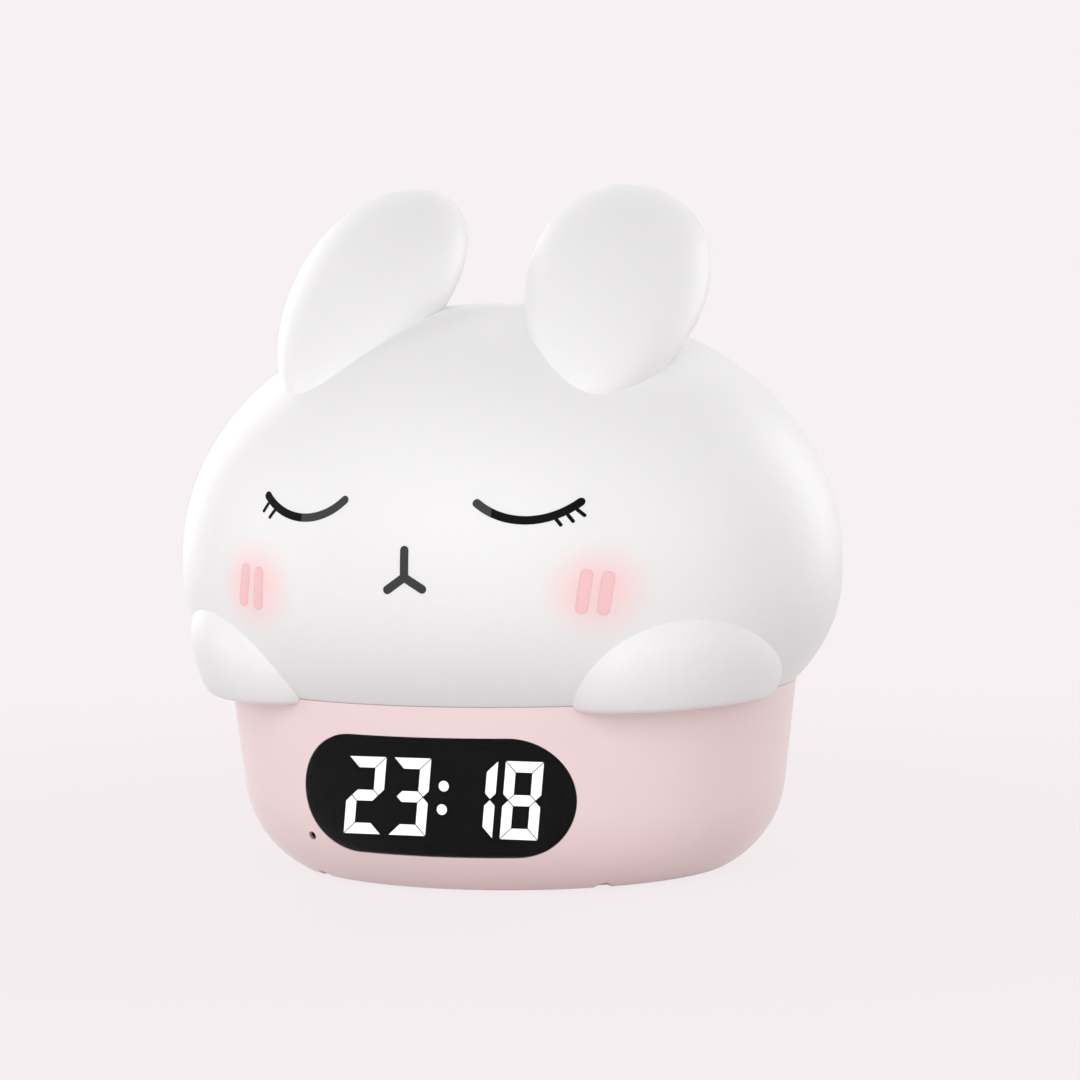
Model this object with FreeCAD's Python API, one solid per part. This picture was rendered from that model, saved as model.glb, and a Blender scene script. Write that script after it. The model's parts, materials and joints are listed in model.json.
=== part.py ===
# Bedside alarm clock with a night light: a soft white animal head over a pink oval base.
# Millimetres. X runs across the face, Y from the face to the back, Z up.
# The origin is on the table, under the middle of the clock, which rests on four pads.
import FreeCAD, Part
import math
import os

V = FreeCAD.Vector
UP = V(0, 0, 1)
BACK = V(0, 1, 0)
RIGHT = V(1, 0, 0)

# Whole form: the plan is an oval, narrower from face to back than across
depth_ratio = 0.92
foot_proud = 0.6

# Head: a dome whose upper and lower halves have their own height and roundness
head_half_width = 65.0
head_rise = 50.8
head_drop = 39.3
head_above_seam = 22.3
upper_roundness = 2.12
lower_roundness = 2.23
cover_wall = 3.0
outline_steps = 20

# Ears: egg shaped lobes laid back over the head, fatter towards the tip
ear_half_width = 17.0
ear_half_thickness = 10.9
ear_half_length = 31.8
ear_tip_growth = 0.21
ear_side = 25.1
ear_forward = 11.7
ear_above_seam = 74.1
ear_turn = 4.6
ear_layback = 53.4
ear_roll = 10.5

# Paws: flattened lobes, cut level where they hang over the rim of the base
paw_half_length = 25.6
paw_half_height = 19.1
paw_half_depth = 12.7
paw_azimuth = 56.3
paw_rim_inset = 7.05
paw_above_seam = 3.2
paw_turn = 62.8
paw_tilt = -50.9
paw_roll = 6.7
paw_hang = 0.85
paw_clearance = 0.3

# Pink base: a straight tapered wall that turns in under the clock
base_height = 35.9
rim_step = 0.2
base_taper = 2.4
base_shoulder_height = 15.5
base_floor_inset = 12.9
base_wall = 2.4
base_rim_wall = 1.2
arc_share = 0.97
notch_angle = 40.0
notch_width = 3.6
notch_height = 1.1

# Deck that closes the base, and the ring that clamps the cover's lip
deck_thickness = 2.2
deck_clearance = 0.15
lip_width = 6.0
lip_thickness = 2.2
ring_flange = 1.8
ring_land = 5.2
ring_screw_count = 6
ring_boss_depth = 4.0
soft_clearance = 0.3

# Night light on the deck
lamp_board_gap = 3.4
lamp_board_thickness = 1.6
lamp_board_lift = 2.5
lamp_led_count = 12
lamp_led_inset = 7.0
lamp_led_size = 3.5
lamp_led_height = 1.2
lamp_screw_inset = 3.2
cup_gap = 1.25
cup_height = 44.0
cup_wall = 1.6
cup_flange = 4.6
cup_screw_count = 3

# Display at the front: window, light blocks and their board
window_half_length = 26.8
window_height = 22.8
window_centre_height = 18.5
window_fit = 0.15
window_flange = 0.9
window_flange_thickness = 1.4
window_seat_fit = 0.2
tape_thickness = 0.3
display_least_lens = 1.43
display_half_length = 21.5
display_height = 18.5
display_corner = 5.0
display_depth = 6.0
display_board_thickness = 1.2
display_tab_length = 11.3
display_tab_height = 5.6
display_screw_inset = 2.5
display_pilot = 2.6
digit_width = 7.4
digit_height = 14.6
digit_slant = 5.8
digit_pitch = 8.9
digit_middle_gap = 13.2
digit_centre_drop = 1.1
segment_width = 2.05
segment_gap = 0.12
segment_depth = 2.5
colon_radius = 1.0
colon_half_gap = 2.2

# Light sensor behind a pinhole, low beside the window
pinhole_side = 26.4
pinhole_height = 9.3
pinhole_width = 1.7
sensor_width = 2.0
sensor_length = 3.4
sleeve_wall = 0.65
sleeve_length = 4.0
sleeve_seat_depth = 0.6
sensor_fit = 0.05
sensor_setback = 0.3

# Control panel at the back: a flat pocket with five keys, a charge socket and a switch
panel_least_depth = 0.26
panel_wall = 2.2
panel_half_length = 23.0
panel_height = 18.0
panel_centre_height = 20.0
panel_block_margin = 5.0
key_count = 5
key_pitch = 8.6
key_width = 6.0
key_height = 24.3
key_fit = 0.2
key_proud = 1.1
key_travel = 0.6
key_flange = 0.7
key_flange_thickness = 1.1
key_play = 0.05
key_stem_width = 3.0
key_stem_length = 1.0
plunger_width = 3.2
plunger_length = 2.0
plunger_fit = 0.1
tact_size = 6.0
tact_depth = 3.5
tact_bore_depth = 1.6
key_board_half_length = 27.0
key_board_height = 8.6
key_board_thickness = 1.2
key_board_screw_reach = 24.4

# Underside: cover, speaker grille, screws and foot pads
opening_land = 2.4
cover_seat_width = 2.9
cover_seat_depth = 1.4
plate_thickness = 2.2
plate_fit = 0.15
post_width = 6.6
front_post = (23.0, 21.0)
rear_post = (26.0, 17.0)
foot_width = 9.0
foot_thickness = 1.5
foot_edge = 2.1
foot_fit = 0.1

# Speaker on the underside cover
speaker_radius = 14.0
speaker_gasket = 0.6
speaker_frame_height = 3.4
speaker_magnet_radius = 8.0
speaker_magnet_height = 3.0
speaker_wall = 0.7
grille_hole = 1.8
grille_pitch = 4.2
grille_rings = 2

# Main board, with the charge socket and the power switch at its back edge
board_half_width = 19.0
board_half_depth = 19.0
board_lift = 12.4
board_thickness = 1.6
board_tongue_left = 18.5
board_tongue_right = 8.0
board_tongue_gap = 2.4
lead_socket_side = 14.5
board_screw_inset = 3.2
board_boss_width = 5.0
socket_width = 8.94
socket_height = 3.2
socket_depth = 7.35
socket_wall = 0.3
socket_recess = 0.3
socket_fit = 0.3
switch_side = 13.0
switch_width = 8.6
switch_height = 3.6
switch_depth = 4.4
switch_travel = 2.0
knob_width = 2.4
knob_height = 1.6
knob_proud = 1.2
knob_fit = 0.25

# Battery stuck under the deck
battery_length = 44.0
battery_width = 29.0
battery_height = 7.6
battery_pad = 1.0

# Screws: one size, in several lengths
screw_width = 2.2
screw_head_width = 4.0
screw_head_height = 1.3
screw_slot = 0.7
screw_fit = 0.05
pass_fit = 0.25
short_screw = 4.4
long_screw = 10.0

# Leads inside the clock
wire_width = 1.0
wire_spread = 0.6
wire_bend = 2.0
lead_socket_height = 3.2
lead_hole_width = 5.0
lead_hole_forward = 17.2
lamp_socket_drop = 2.0
ribbon_thickness = 0.3
ribbon_lift = 0.05
display_ribbon_side = 8.0
display_ribbon_width = 10.0
key_ribbon_side = 6.0
key_ribbon_width = 6.0

# The time shown, by the letters of each digit's light blocks, and the keys from left to right
lit_letters = ["abged", "abgcd", "bc", "abcdefg"]
key_names = ["mode", "minus", "plus", "alarm", "light"]

# Heights worked out from the sizes above
base_floor = foot_proud
seam = base_floor + base_height
head_middle = seam + head_above_seam
deck_floor = seam - deck_thickness
plate_top = base_floor + plate_thickness
board_floor = base_floor + board_lift
board_top = board_floor + board_thickness
window_middle = base_floor + window_centre_height
display_middle = window_middle - digit_centre_drop
key_middle = base_floor + key_height
panel_middle = base_floor + panel_centre_height
screw_seat_depth = screw_head_height
speaker_floor = plate_top + speaker_gasket
knob_z = board_top + switch_height / 2


def box(x0, x1, y0, y1, z0, z1):
    """A box between two corners."""
    return Part.makeBox(x1 - x0, y1 - y0, z1 - z0, V(x0, y0, z0))


def rod(width, start, end):
    """A round rod of a given width from one point to another."""
    run = end - start
    return Part.makeCylinder(width / 2, run.Length, start, run)


def fused(shapes):
    """Several overlapping shapes as one."""
    first = shapes[0]
    return first.fuse(shapes[1:]).removeSplitter() if len(shapes) > 1 else first


def squash(shape):
    """Narrow a turned shape from face to back, so that its plan becomes the oval."""
    matrix = FreeCAD.Matrix()
    matrix.A22 = depth_ratio
    return shape.transformGeometry(matrix)


def turned(edges):
    """A solid turned about the Z axis from a closed outline in the XZ plane."""
    return Part.Face(Part.Wire(edges)).revolve(V(0, 0, 0), UP, 360)


def line(a, b):
    """A straight edge."""
    return Part.LineSegment(a, b).toShape()


def oval_plate(radius, z0, z1):
    """A flat oval plate whose half length is the radius."""
    ellipse = Part.Ellipse(V(0, 0, z0), radius, radius * depth_ratio)
    return Part.Face(Part.Wire([ellipse.toShape()])).extrude(V(0, 0, z1 - z0))


def plan_point(radius, azimuth, z):
    """A point on the oval of a radius, by its angle from the face towards +X."""
    angle = math.radians(azimuth)
    return V(radius * math.sin(angle), -depth_ratio * radius * math.cos(angle), z)


def stadium(half_length, height, middle, y0, y1):
    """A bar with round ends seen from the front, between two depths."""
    r = height / 2
    s = half_length - r
    top = [line(V(-s, y0, middle + r), V(s, y0, middle + r))]
    right = [Part.Arc(V(s, y0, middle + r), V(s + r, y0, middle), V(s, y0, middle - r)).toShape()]
    low = [line(V(s, y0, middle - r), V(-s, y0, middle - r))]
    left = [Part.Arc(V(-s, y0, middle - r), V(-s - r, y0, middle), V(-s, y0, middle + r)).toShape()]
    return Part.Face(Part.Wire(top + right + low + left)).extrude(V(0, y1 - y0, 0))


def soft_box(half_length, height, corner, middle, y0, y1):
    """A box with rounded upright corners seen from the front, between two depths."""
    block = box(-half_length, half_length, y0, y1, middle - height / 2, middle + height / 2)
    edges = [e for e in block.Edges if abs(e.tangentAt(e.FirstParameter).y) > 0.99]
    return block.makeFillet(corner, edges)


def head_point(inset, angle):
    """A point on the dome's outline: 90 is the crown and 0 the widest level."""
    t = math.radians(angle)
    half = head_half_width - inset
    if angle >= 0:
        n, height = upper_roundness, head_rise - inset
    else:
        n, height = lower_roundness, head_drop - inset
    r = half * max(math.cos(t), 0.0) ** (2 / n)
    z = math.copysign(height * abs(math.sin(t)) ** (2 / n), angle)
    return V(r, 0, head_middle + z)


def rim_angle(inset):
    """The outline's angle at the seam."""
    share = head_above_seam / (head_drop - inset)
    return -math.degrees(math.asin(min(share, 0.98) ** (lower_roundness / 2)))


def dome(inset):
    """The head's dome down to the seam, inset by a wall."""
    low = rim_angle(inset)
    angles = [90 - (90 - low) * i / outline_steps for i in range(outline_steps + 1)]
    points = [head_point(inset, a) for a in angles]
    curve = Part.BSplineCurve()
    curve.interpolate(points)
    edge = curve.toShape()
    crown = points[0]
    rim = points[-1]
    foot = V(0, 0, rim.z)
    return squash(turned([edge, line(rim, foot), line(foot, crown)]))


head_rim_radius = head_point(0, rim_angle(0)).x
base_top_radius = head_rim_radius - rim_step
base_side_radius = base_top_radius - base_taper
base_floor_radius = base_top_radius - base_floor_inset


def base_outline(inset):
    """The base's side inset by a wall: its shoulder, its slope, and the arc under the shoulder."""
    shoulder = V(base_side_radius, 0, base_floor + base_shoulder_height)
    slope = V(base_top_radius, 0, seam) - shoulder
    slope.normalize()
    inward = V(-slope.z, 0, slope.x)
    chord = V(base_floor_radius, 0, base_floor) - shoulder
    bend = chord.Length ** 2 / (2 * chord.dot(inward))
    return shoulder + inward * inset, slope, shoulder + inward * bend, bend - inset


def base_radius(inset, z):
    """The half length of the base's oval at a level, inset by a wall."""
    start, slope, centre, radius = base_outline(inset)
    if z >= start.z:
        return start.x + slope.x * (z - start.z) / slope.z
    return centre.x + math.sqrt(radius ** 2 - (z - centre.z) ** 2)


def base_body(inset, z0, z1):
    """The base's outer form inset by a wall, between two levels."""
    start, slope, centre, radius = base_outline(inset)
    low = max(z0 - 1, centre.z - arc_share * radius)
    middle = (start.z + low) / 2
    high = seam + deck_thickness
    corners = [V(base_radius(inset, z), 0, z) for z in (high, start.z, middle, low)]
    side = [line(corners[0], corners[1]), Part.Arc(corners[1], corners[2], corners[3]).toShape()]
    floor = [line(corners[3], V(0, 0, low)), line(V(0, 0, low), V(0, 0, high))]
    body = squash(turned(side + floor + [line(V(0, 0, high), corners[0])]))
    reach = 2 * base_top_radius
    return body.common(box(-reach, reach, -reach, reach, z0, z1))


def wall_depth(inset, x, z):
    """How far the base's wall lies from the middle, towards the face, at X and Z."""
    r = base_radius(inset, z)
    return depth_ratio * math.sqrt(r ** 2 - x ** 2)


# Places worked out from the base's curved wall: the display's face, the panel and the underside's opening
display_tab_reach = display_half_length + display_tab_length
display_screw_reach = display_tab_reach - display_screw_inset
display_face = wall_depth(0, display_half_length, display_middle - display_height / 2) - display_least_lens
panel_face = wall_depth(0, panel_half_length, panel_middle - panel_height / 2) - panel_least_depth
panel_inner = panel_face - panel_wall
socket_back = panel_face - socket_recess
board_tongue_back = panel_inner - board_tongue_gap
board_screw_reach = board_half_width - board_screw_inset
opening_radius = base_floor_radius - cover_seat_width - opening_land
foot_reach = opening_radius - foot_width / 2 - foot_edge


def screw(seat, direction, length):
    """A cross slot screw: its head stands on the seat, its shank runs along direction."""
    shank = Part.makeCylinder(screw_width / 2, length, seat, direction)
    head = Part.makeCylinder(screw_head_width / 2, screw_head_height, seat, -direction)
    body = head.fuse(shank).removeSplitter()
    top = seat - direction * screw_head_height
    depth = screw_head_height / 2
    bars = []
    for turn in (0, 90):
        bar = Part.makeBox(screw_head_width * 0.6, screw_slot, depth)
        bar.translate(V(-screw_head_width * 0.3, -screw_slot / 2, 0))
        bar.rotate(V(0, 0, 0), UP, turn)
        bar.Placement = FreeCAD.Placement(top, FreeCAD.Rotation(UP, direction)).multiply(bar.Placement)
        bars.append(bar)
    return body.cut(bars)


def hole(seat, direction, length, fit):
    """The hole that a screw's shank runs in."""
    return Part.makeCylinder(screw_width / 2 + fit, length, seat, direction)


def ear():
    """The ear on the +X side: an egg turned about its own axis, flattened and laid back."""
    steps = [-90 + 180 * i / outline_steps for i in range(outline_steps + 1)]
    points = []
    for step in steps:
        t = math.radians(step)
        growth = 1 + ear_tip_growth * math.sin(t)
        points.append(V(ear_half_width * max(math.cos(t), 0.0) * growth, 0, ear_half_length * math.sin(t)))
    points[0].x = 0
    points[-1].x = 0
    curve = Part.BSplineCurve()
    curve.interpolate(points)
    egg = turned([curve.toShape(), line(points[-1], points[0])])
    matrix = FreeCAD.Matrix()
    matrix.A22 = ear_half_thickness / ear_half_width
    egg = egg.transformGeometry(matrix)
    egg.rotate(V(0, 0, 0), UP, ear_roll)
    egg.rotate(V(0, 0, 0), RIGHT, -ear_layback)
    egg.rotate(V(0, 0, 0), UP, ear_turn)
    egg.translate(V(ear_side, -ear_forward, seam + ear_above_seam))
    return egg


def paw():
    """The paw on the +X side: a flattened ball turned to lie along the rim, with a level underside."""
    matrix = FreeCAD.Matrix()
    matrix.A22 = paw_half_height / paw_half_length
    matrix.A33 = paw_half_depth / paw_half_length
    lobe = Part.makeSphere(paw_half_length).transformGeometry(matrix)
    lobe.rotate(V(0, 0, 0), UP, paw_roll)
    lobe.rotate(V(0, 0, 0), RIGHT, paw_tilt)
    lobe.rotate(V(0, 0, 0), UP, paw_turn)
    lobe.translate(plan_point(head_rim_radius - paw_rim_inset, paw_azimuth, seam + paw_above_seam))
    reach = 2 * head_half_width
    return lobe.cut(box(-reach, reach, -reach, reach, seam - paw_hang - reach, seam - paw_hang))


def mirrored(shape):
    """The same shape on the -X side."""
    return shape.mirror(V(0, 0, 0), RIGHT)


def cover_inner_radius():
    return head_point(cover_wall, rim_angle(cover_wall)).x


def silicone_cover():
    """Head, ears and paws in one soft moulding, with a lip turned in at its rim."""
    ear_lobe = ear()
    paw_lobe = paw()
    outside = dome(0).fuse([ear_lobe, mirrored(ear_lobe), paw_lobe, mirrored(paw_lobe)])
    hollow = dome(cover_wall)
    below = base_body(-paw_clearance, base_floor, seam)
    shell = outside.cut([hollow, below])
    inner = cover_inner_radius()
    lip = oval_plate(inner + cover_wall / 2, seam, seam + lip_thickness)
    lip = lip.cut(oval_plate(inner - lip_width, seam, seam + lip_thickness))
    shell = shell.fuse(lip)
    return max(shell.Solids, key=lambda s: s.Volume)


ring_outer = cover_inner_radius() - soft_clearance
ring_step = cover_inner_radius() - lip_width - soft_clearance
ring_inner = ring_step - ring_land
ring_screw_radius = ring_step - ring_land / 2
ring_top = seam + lip_thickness + ring_flange
cup_radius = depth_ratio * ring_inner - cup_gap - cup_flange
lamp_board_radius = cup_radius - cup_wall - lamp_board_gap
lamp_led_ring = lamp_board_radius - lamp_led_inset
lamp_screw_ring = lamp_board_radius - lamp_screw_inset


def ring_screw_points(z):
    """Where the clamp ring's screws stand."""
    return [plan_point(ring_screw_radius, 360 * i / ring_screw_count + 90, z) for i in range(ring_screw_count)]


def clamp_ring():
    """The ring that holds the cover's lip down on the deck."""
    flange = oval_plate(ring_outer, seam + lip_thickness, ring_top)
    land = oval_plate(ring_step, seam, seam + lip_thickness)
    ring = flange.fuse(land).cut(oval_plate(ring_inner, seam, ring_top))
    holes = [hole(p, -UP, ring_top - seam, pass_fit) for p in ring_screw_points(ring_top)]
    return ring.cut(holes).removeSplitter()


def clamp_ring_screws():
    length = ring_top - seam + deck_thickness + ring_boss_depth - 1.0
    return Part.makeCompound([screw(p, -UP, length) for p in ring_screw_points(ring_top)])


def post_points(z):
    """The four posts that tie the deck, the base and the underside cover together."""
    fx, fy = front_post
    rx, ry = rear_post
    return [V(-fx, -fy, z), V(fx, -fy, z), V(-rx, ry, z), V(rx, ry, z)]


def lamp_screw_points(z):
    turn = math.radians(120)
    return [V(lamp_screw_ring * math.sin(turn * i), -lamp_screw_ring * math.cos(turn * i), z) for i in range(3)]


def cup_screw_points(z):
    r = cup_radius + cup_flange / 2
    turn = 2 * math.pi / cup_screw_count
    return [V(r * math.sin(turn * i + turn / 2), -r * math.cos(turn * i + turn / 2), z)
            for i in range(cup_screw_count)]


def top_deck():
    """The plate that closes the base, with its posts and bosses."""
    rim = base_top_radius - base_rim_wall - deck_clearance
    adds = [oval_plate(rim, deck_floor, seam)]
    for p in post_points(plate_top):
        adds.append(rod(post_width, p, V(p.x, p.y, deck_floor + 0.5)))
    for p in ring_screw_points(deck_floor - ring_boss_depth):
        adds.append(rod(screw_width + 2.8, p, V(p.x, p.y, deck_floor + 0.5)))
    for p in lamp_screw_points(seam - 0.5):
        adds.append(rod(screw_width + 2.4, p, V(p.x, p.y, seam + lamp_board_lift)))
    for p in cup_screw_points(deck_floor - 3.0):
        adds.append(rod(screw_width + 2.4, p, V(p.x, p.y, deck_floor + 0.5)))
    deck = adds[0].fuse(adds[1:])
    cuts = [hole(p, UP, long_screw, screw_fit) for p in post_points(plate_top)]
    cuts += [hole(p, -UP, deck_thickness + ring_boss_depth, screw_fit) for p in ring_screw_points(seam)]
    cuts += [hole(p, -UP, short_screw, screw_fit) for p in lamp_screw_points(seam + lamp_board_lift)]
    cuts += [hole(p, -UP, short_screw, screw_fit) for p in cup_screw_points(seam)]
    cuts.append(rod(lead_hole_width, V(0, -lead_hole_forward, deck_floor - 1), V(0, -lead_hole_forward, seam + 1)))
    return deck.cut(cuts).removeSplitter()


def lamp_board():
    """The round board that carries the night light's lamps."""
    z = seam + lamp_board_lift
    disc = Part.makeCylinder(lamp_board_radius, lamp_board_thickness, V(0, 0, z))
    holes = [hole(p, -UP, lamp_board_thickness, pass_fit) for p in lamp_screw_points(z + lamp_board_thickness)]
    return disc.cut(holes)


def lamp_board_screws():
    z = seam + lamp_board_lift + lamp_board_thickness
    return Part.makeCompound([screw(p, -UP, short_screw) for p in lamp_screw_points(z)])


def lamp_leds():
    """A ring of small square lamps and one in the middle."""
    z = seam + lamp_board_lift + lamp_board_thickness
    s = lamp_led_size / 2
    lamps = [box(-s, s, -s, s, z, z + lamp_led_height)]
    for i in range(lamp_led_count):
        angle = 360 * (i + 0.5) / lamp_led_count
        lamp = box(-s, s, -s, s, z, z + lamp_led_height)
        lamp.translate(V(0, lamp_led_ring, 0))
        lamp.rotate(V(0, 0, 0), UP, angle)
        lamps.append(lamp)
    return Part.makeCompound(lamps)


def lamp_socket():
    """The small connector on the lamp board that the lead plugs into."""
    z = seam + lamp_board_lift
    return box(-2.2, 2.2, -lead_hole_forward - 1.8, -lead_hole_forward + 1.8, z - lamp_socket_drop, z)


def diffuser_cup():
    """The milky cup over the lamps: an upright wall under a half ball, on a flange."""
    spring = seam + cup_height - cup_radius

    def form(radius):
        wall = Part.makeCylinder(radius, spring - seam, V(0, 0, seam))
        return wall.fuse(Part.makeSphere(radius, V(0, 0, spring), UP, 0, 90, 360))

    flange = Part.makeCylinder(cup_radius + cup_flange, cup_wall, V(0, 0, seam))
    cup = form(cup_radius).fuse(flange).cut(form(cup_radius - cup_wall))
    holes = [hole(p, -UP, cup_wall, pass_fit) for p in cup_screw_points(seam + cup_wall)]
    return cup.cut(holes).removeSplitter()


def cup_screws():
    return Part.makeCompound([screw(p, -UP, short_screw) for p in cup_screw_points(seam + cup_wall)])


def sensor_mouth(depth):
    """A point on the pinhole's axis, by its depth behind the base's surface."""
    z = base_floor + pinhole_height
    return V(-pinhole_side, depth - wall_depth(0, pinhole_side, z), z)


def notch_cutters():
    """Half round bars that leave four small notches in the base's lower edge."""
    half = notch_width / 2
    radius = (half ** 2 + notch_height ** 2) / (2 * notch_height)
    z = base_floor + notch_height - radius
    bars = []
    for azimuth in (notch_angle, -notch_angle, 180 - notch_angle, 180 + notch_angle):
        inner = plan_point(opening_radius + cover_seat_width + 0.2, azimuth, z)
        outer = plan_point(base_top_radius, azimuth, z)
        bars.append(rod(2 * radius, inner, outer))
    return bars


def key_x(index):
    return (index - (key_count - 1) / 2) * key_pitch


def key_board_back():
    """Depth of the key board's lamp side, behind the keys."""
    return panel_inner - key_flange_thickness - key_stem_length - (plunger_length - tact_bore_depth + 0.4) - tact_depth


def base_housing():
    """The pink base, with its window, its pinhole and its control panel."""
    outer = base_body(0, base_floor, seam)
    cavity = base_body(base_wall, base_floor + base_wall, seam + 1)
    block = box(-panel_half_length - panel_block_margin, panel_half_length + panel_block_margin,
                panel_inner, base_top_radius, panel_middle - panel_height / 2 - panel_wall,
                panel_middle + panel_height / 2 + panel_wall)
    shell = outer.cut(cavity).fuse(outer.common(block))
    cuts = [oval_plate(base_top_radius - base_rim_wall, deck_floor, seam + 1)]
    cuts.append(oval_plate(opening_radius, base_floor - 1, base_floor + base_wall + 1))
    cuts.append(oval_plate(opening_radius + cover_seat_width, base_floor - 1, base_floor + cover_seat_depth))
    cuts.append(stadium(window_half_length, window_height, window_middle, -base_top_radius, -base_top_radius / 2))
    cuts.append(stadium(panel_half_length, panel_height, panel_middle, panel_face, base_top_radius))
    cuts.append(rod(pinhole_width, sensor_mouth(-3), sensor_mouth(base_wall + 3)))
    seat_width = sensor_width + 2 * sleeve_wall + 4 * sensor_fit
    cuts.append(rod(seat_width, sensor_mouth(base_wall - sleeve_seat_depth), sensor_mouth(2 * base_wall + 3)))
    cuts += notch_cutters()
    for i in range(key_count):
        cuts.append(rod(key_width + 2 * key_fit, V(key_x(i), panel_inner - 1, key_middle),
                        V(key_x(i), panel_face + 1, key_middle)))
    cuts.append(socket_hole())
    cuts.append(knob_slot())
    shell = shell.cut(cuts)
    bosses = []
    for side in (-1, 1):
        x = side * key_board_screw_reach
        bosses.append(rod(screw_width + 2.6, V(x, key_board_back(), key_middle), V(x, panel_inner + 0.5, key_middle)))
        x = side * display_screw_reach
        depth = wall_depth(base_wall, abs(x) - 2.4, window_middle)
        boss = rod(screw_width + 2.6, V(x, -display_face + display_depth, window_middle),
                   V(x, -depth - 1, window_middle))
        bosses.append(boss.common(outer))
    shell = shell.fuse(bosses)
    pilots = []
    for side in (-1, 1):
        x = side * key_board_screw_reach
        pilots.append(hole(V(x, key_board_back(), key_middle), BACK, short_screw, screw_fit))
        x = side * display_screw_reach
        pilots.append(hole(V(x, -display_face + display_depth, window_middle), -BACK, display_pilot, screw_fit))
    return shell.cut(pilots).removeSplitter()


def display_window():
    """The dark lens, flush with the base, with a flange behind the wall."""
    plug = stadium(window_half_length - window_fit, window_height - 2 * window_fit, window_middle,
                   -base_top_radius, -base_top_radius / 2)
    skirt = stadium(window_half_length + window_flange, window_height + 2 * window_flange, window_middle,
                    -base_top_radius, -base_top_radius / 2)
    back = base_wall + tape_thickness + window_flange_thickness
    inner = base_body(back, base_floor, seam)
    lens = base_body(0, base_floor, seam).cut(inner).common(plug)
    flange = base_body(base_wall + tape_thickness, base_floor, seam).cut(inner).common(skirt)
    seat = soft_box(display_half_length + window_seat_fit, display_height + 2 * window_seat_fit, display_corner,
                    display_middle, -display_face - window_seat_fit, -base_top_radius / 2)
    return lens.fuse(flange).cut(seat).removeSplitter()


def window_tape():
    """The thin adhesive frame between the lens's flange and the wall."""
    skirt = stadium(window_half_length + window_flange, window_height + 2 * window_flange, window_middle,
                    -base_top_radius, -base_top_radius / 2)
    opening = stadium(window_half_length, window_height, window_middle, -base_top_radius, -base_top_radius / 2)
    film = base_body(base_wall, base_floor + base_wall, seam)
    film = film.cut(base_body(base_wall + tape_thickness, base_floor, seam))
    return film.common(skirt).cut(opening)


def digit_centres():
    inner = digit_middle_gap / 2
    return [-inner - digit_pitch, -inner, inner, inner + digit_pitch]


def slanted(x, z):
    """A point on the display, leaned over as the digits are."""
    return V(x + z * math.tan(math.radians(digit_slant)), -display_face, display_middle + z)


def bar(centre, corners):
    """One light block of a digit, from its corners about the digit's centre."""
    points = [slanted(centre + x, z) for x, z in corners]
    outline = [line(a, b) for a, b in zip(points, points[1:] + points[:1])]
    return Part.Face(Part.Wire(outline)).extrude(V(0, segment_depth, 0))


def digit_bars(centre):
    """The seven light blocks of a digit, by the letters that such displays use."""
    w = digit_width / 2
    h = digit_height / 2
    t = segment_width
    g = segment_gap
    u = t / 2
    top = [(-w + g, h), (w - g, h), (w - t - g, h - t), (-w + t + g, h - t)]
    side = [(w, h - g), (w - t, h - t - g), (w - t, u + g), (w - u, g), (w, u + g)]
    middle = [(-w + u + g, 0), (-w + t + g, u), (w - t - g, u), (w - u - g, 0), (w - t - g, -u), (-w + t + g, -u)]

    def flip(corners, across, over):
        return [(-x if across else x, -z if over else z) for x, z in corners]

    shapes = {"a": top, "b": side, "c": flip(side, False, True), "d": flip(top, False, True),
              "e": flip(side, True, True), "f": flip(side, True, False), "g": middle}
    return {name: bar(centre, corners) for name, corners in shapes.items()}


def display_segments(lit):
    """The light blocks that show the time, or the ones that stay dark."""
    blocks = []
    for centre, letters in zip(digit_centres(), lit_letters):
        for name, block in digit_bars(centre).items():
            if (name in letters) == lit:
                blocks.append(block)
    if lit:
        blocks += colon_dots()
    return Part.makeCompound(blocks)


def colon_dots():
    dots = []
    for z in (-colon_half_gap, colon_half_gap):
        p = slanted(0, z)
        dots.append(Part.makeCylinder(colon_radius, segment_depth, p, BACK))
    return dots


def display_block():
    """The black block that holds the digits' light blocks, open behind them."""
    block = soft_box(display_half_length, display_height, display_corner, display_middle,
                     -display_face, -display_face + display_depth)
    wells = []
    for centre in digit_centres():
        wells += list(digit_bars(centre).values())
    wells += colon_dots()
    backs = []
    for well in wells:
        back = well.copy()
        back.translate(V(0, segment_depth, 0))
        backs.append(back)
    return block.cut(wells + backs)


def display_board():
    """The board behind the digits, with a screw tab at each end."""
    y0 = -display_face + display_depth
    y1 = y0 + display_board_thickness
    plate = soft_box(display_half_length, display_height, display_corner, display_middle, y0, y1)
    tabs = stadium(display_tab_reach, display_tab_height, window_middle, y0, y1)
    board = plate.fuse(tabs)
    holes = []
    for side in (-1, 1):
        holes.append(hole(V(side * display_screw_reach, y1, window_middle), -BACK, display_board_thickness, pass_fit))
    return board.cut(holes).removeSplitter()


def display_board_screws():
    y1 = -display_face + display_depth + display_board_thickness
    length = display_board_thickness + display_pilot - 0.4
    return Part.makeCompound([screw(V(s * display_screw_reach, y1, window_middle), -BACK, length) for s in (-1, 1)])


def light_sensor():
    """The small light sensor that looks out of the pinhole."""
    start = base_wall - sleeve_seat_depth + sensor_setback
    return rod(sensor_width, sensor_mouth(start), sensor_mouth(start + sensor_length))


def sensor_sleeve():
    """The black sleeve that holds the light sensor behind the pinhole."""
    start = base_wall - sleeve_seat_depth
    ends = sensor_mouth(start), sensor_mouth(start + sleeve_length)
    outside = rod(sensor_width + 2 * sleeve_wall + 2 * sensor_fit, *ends)
    return outside.cut(rod(sensor_width + 2 * sensor_fit, *ends))


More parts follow.
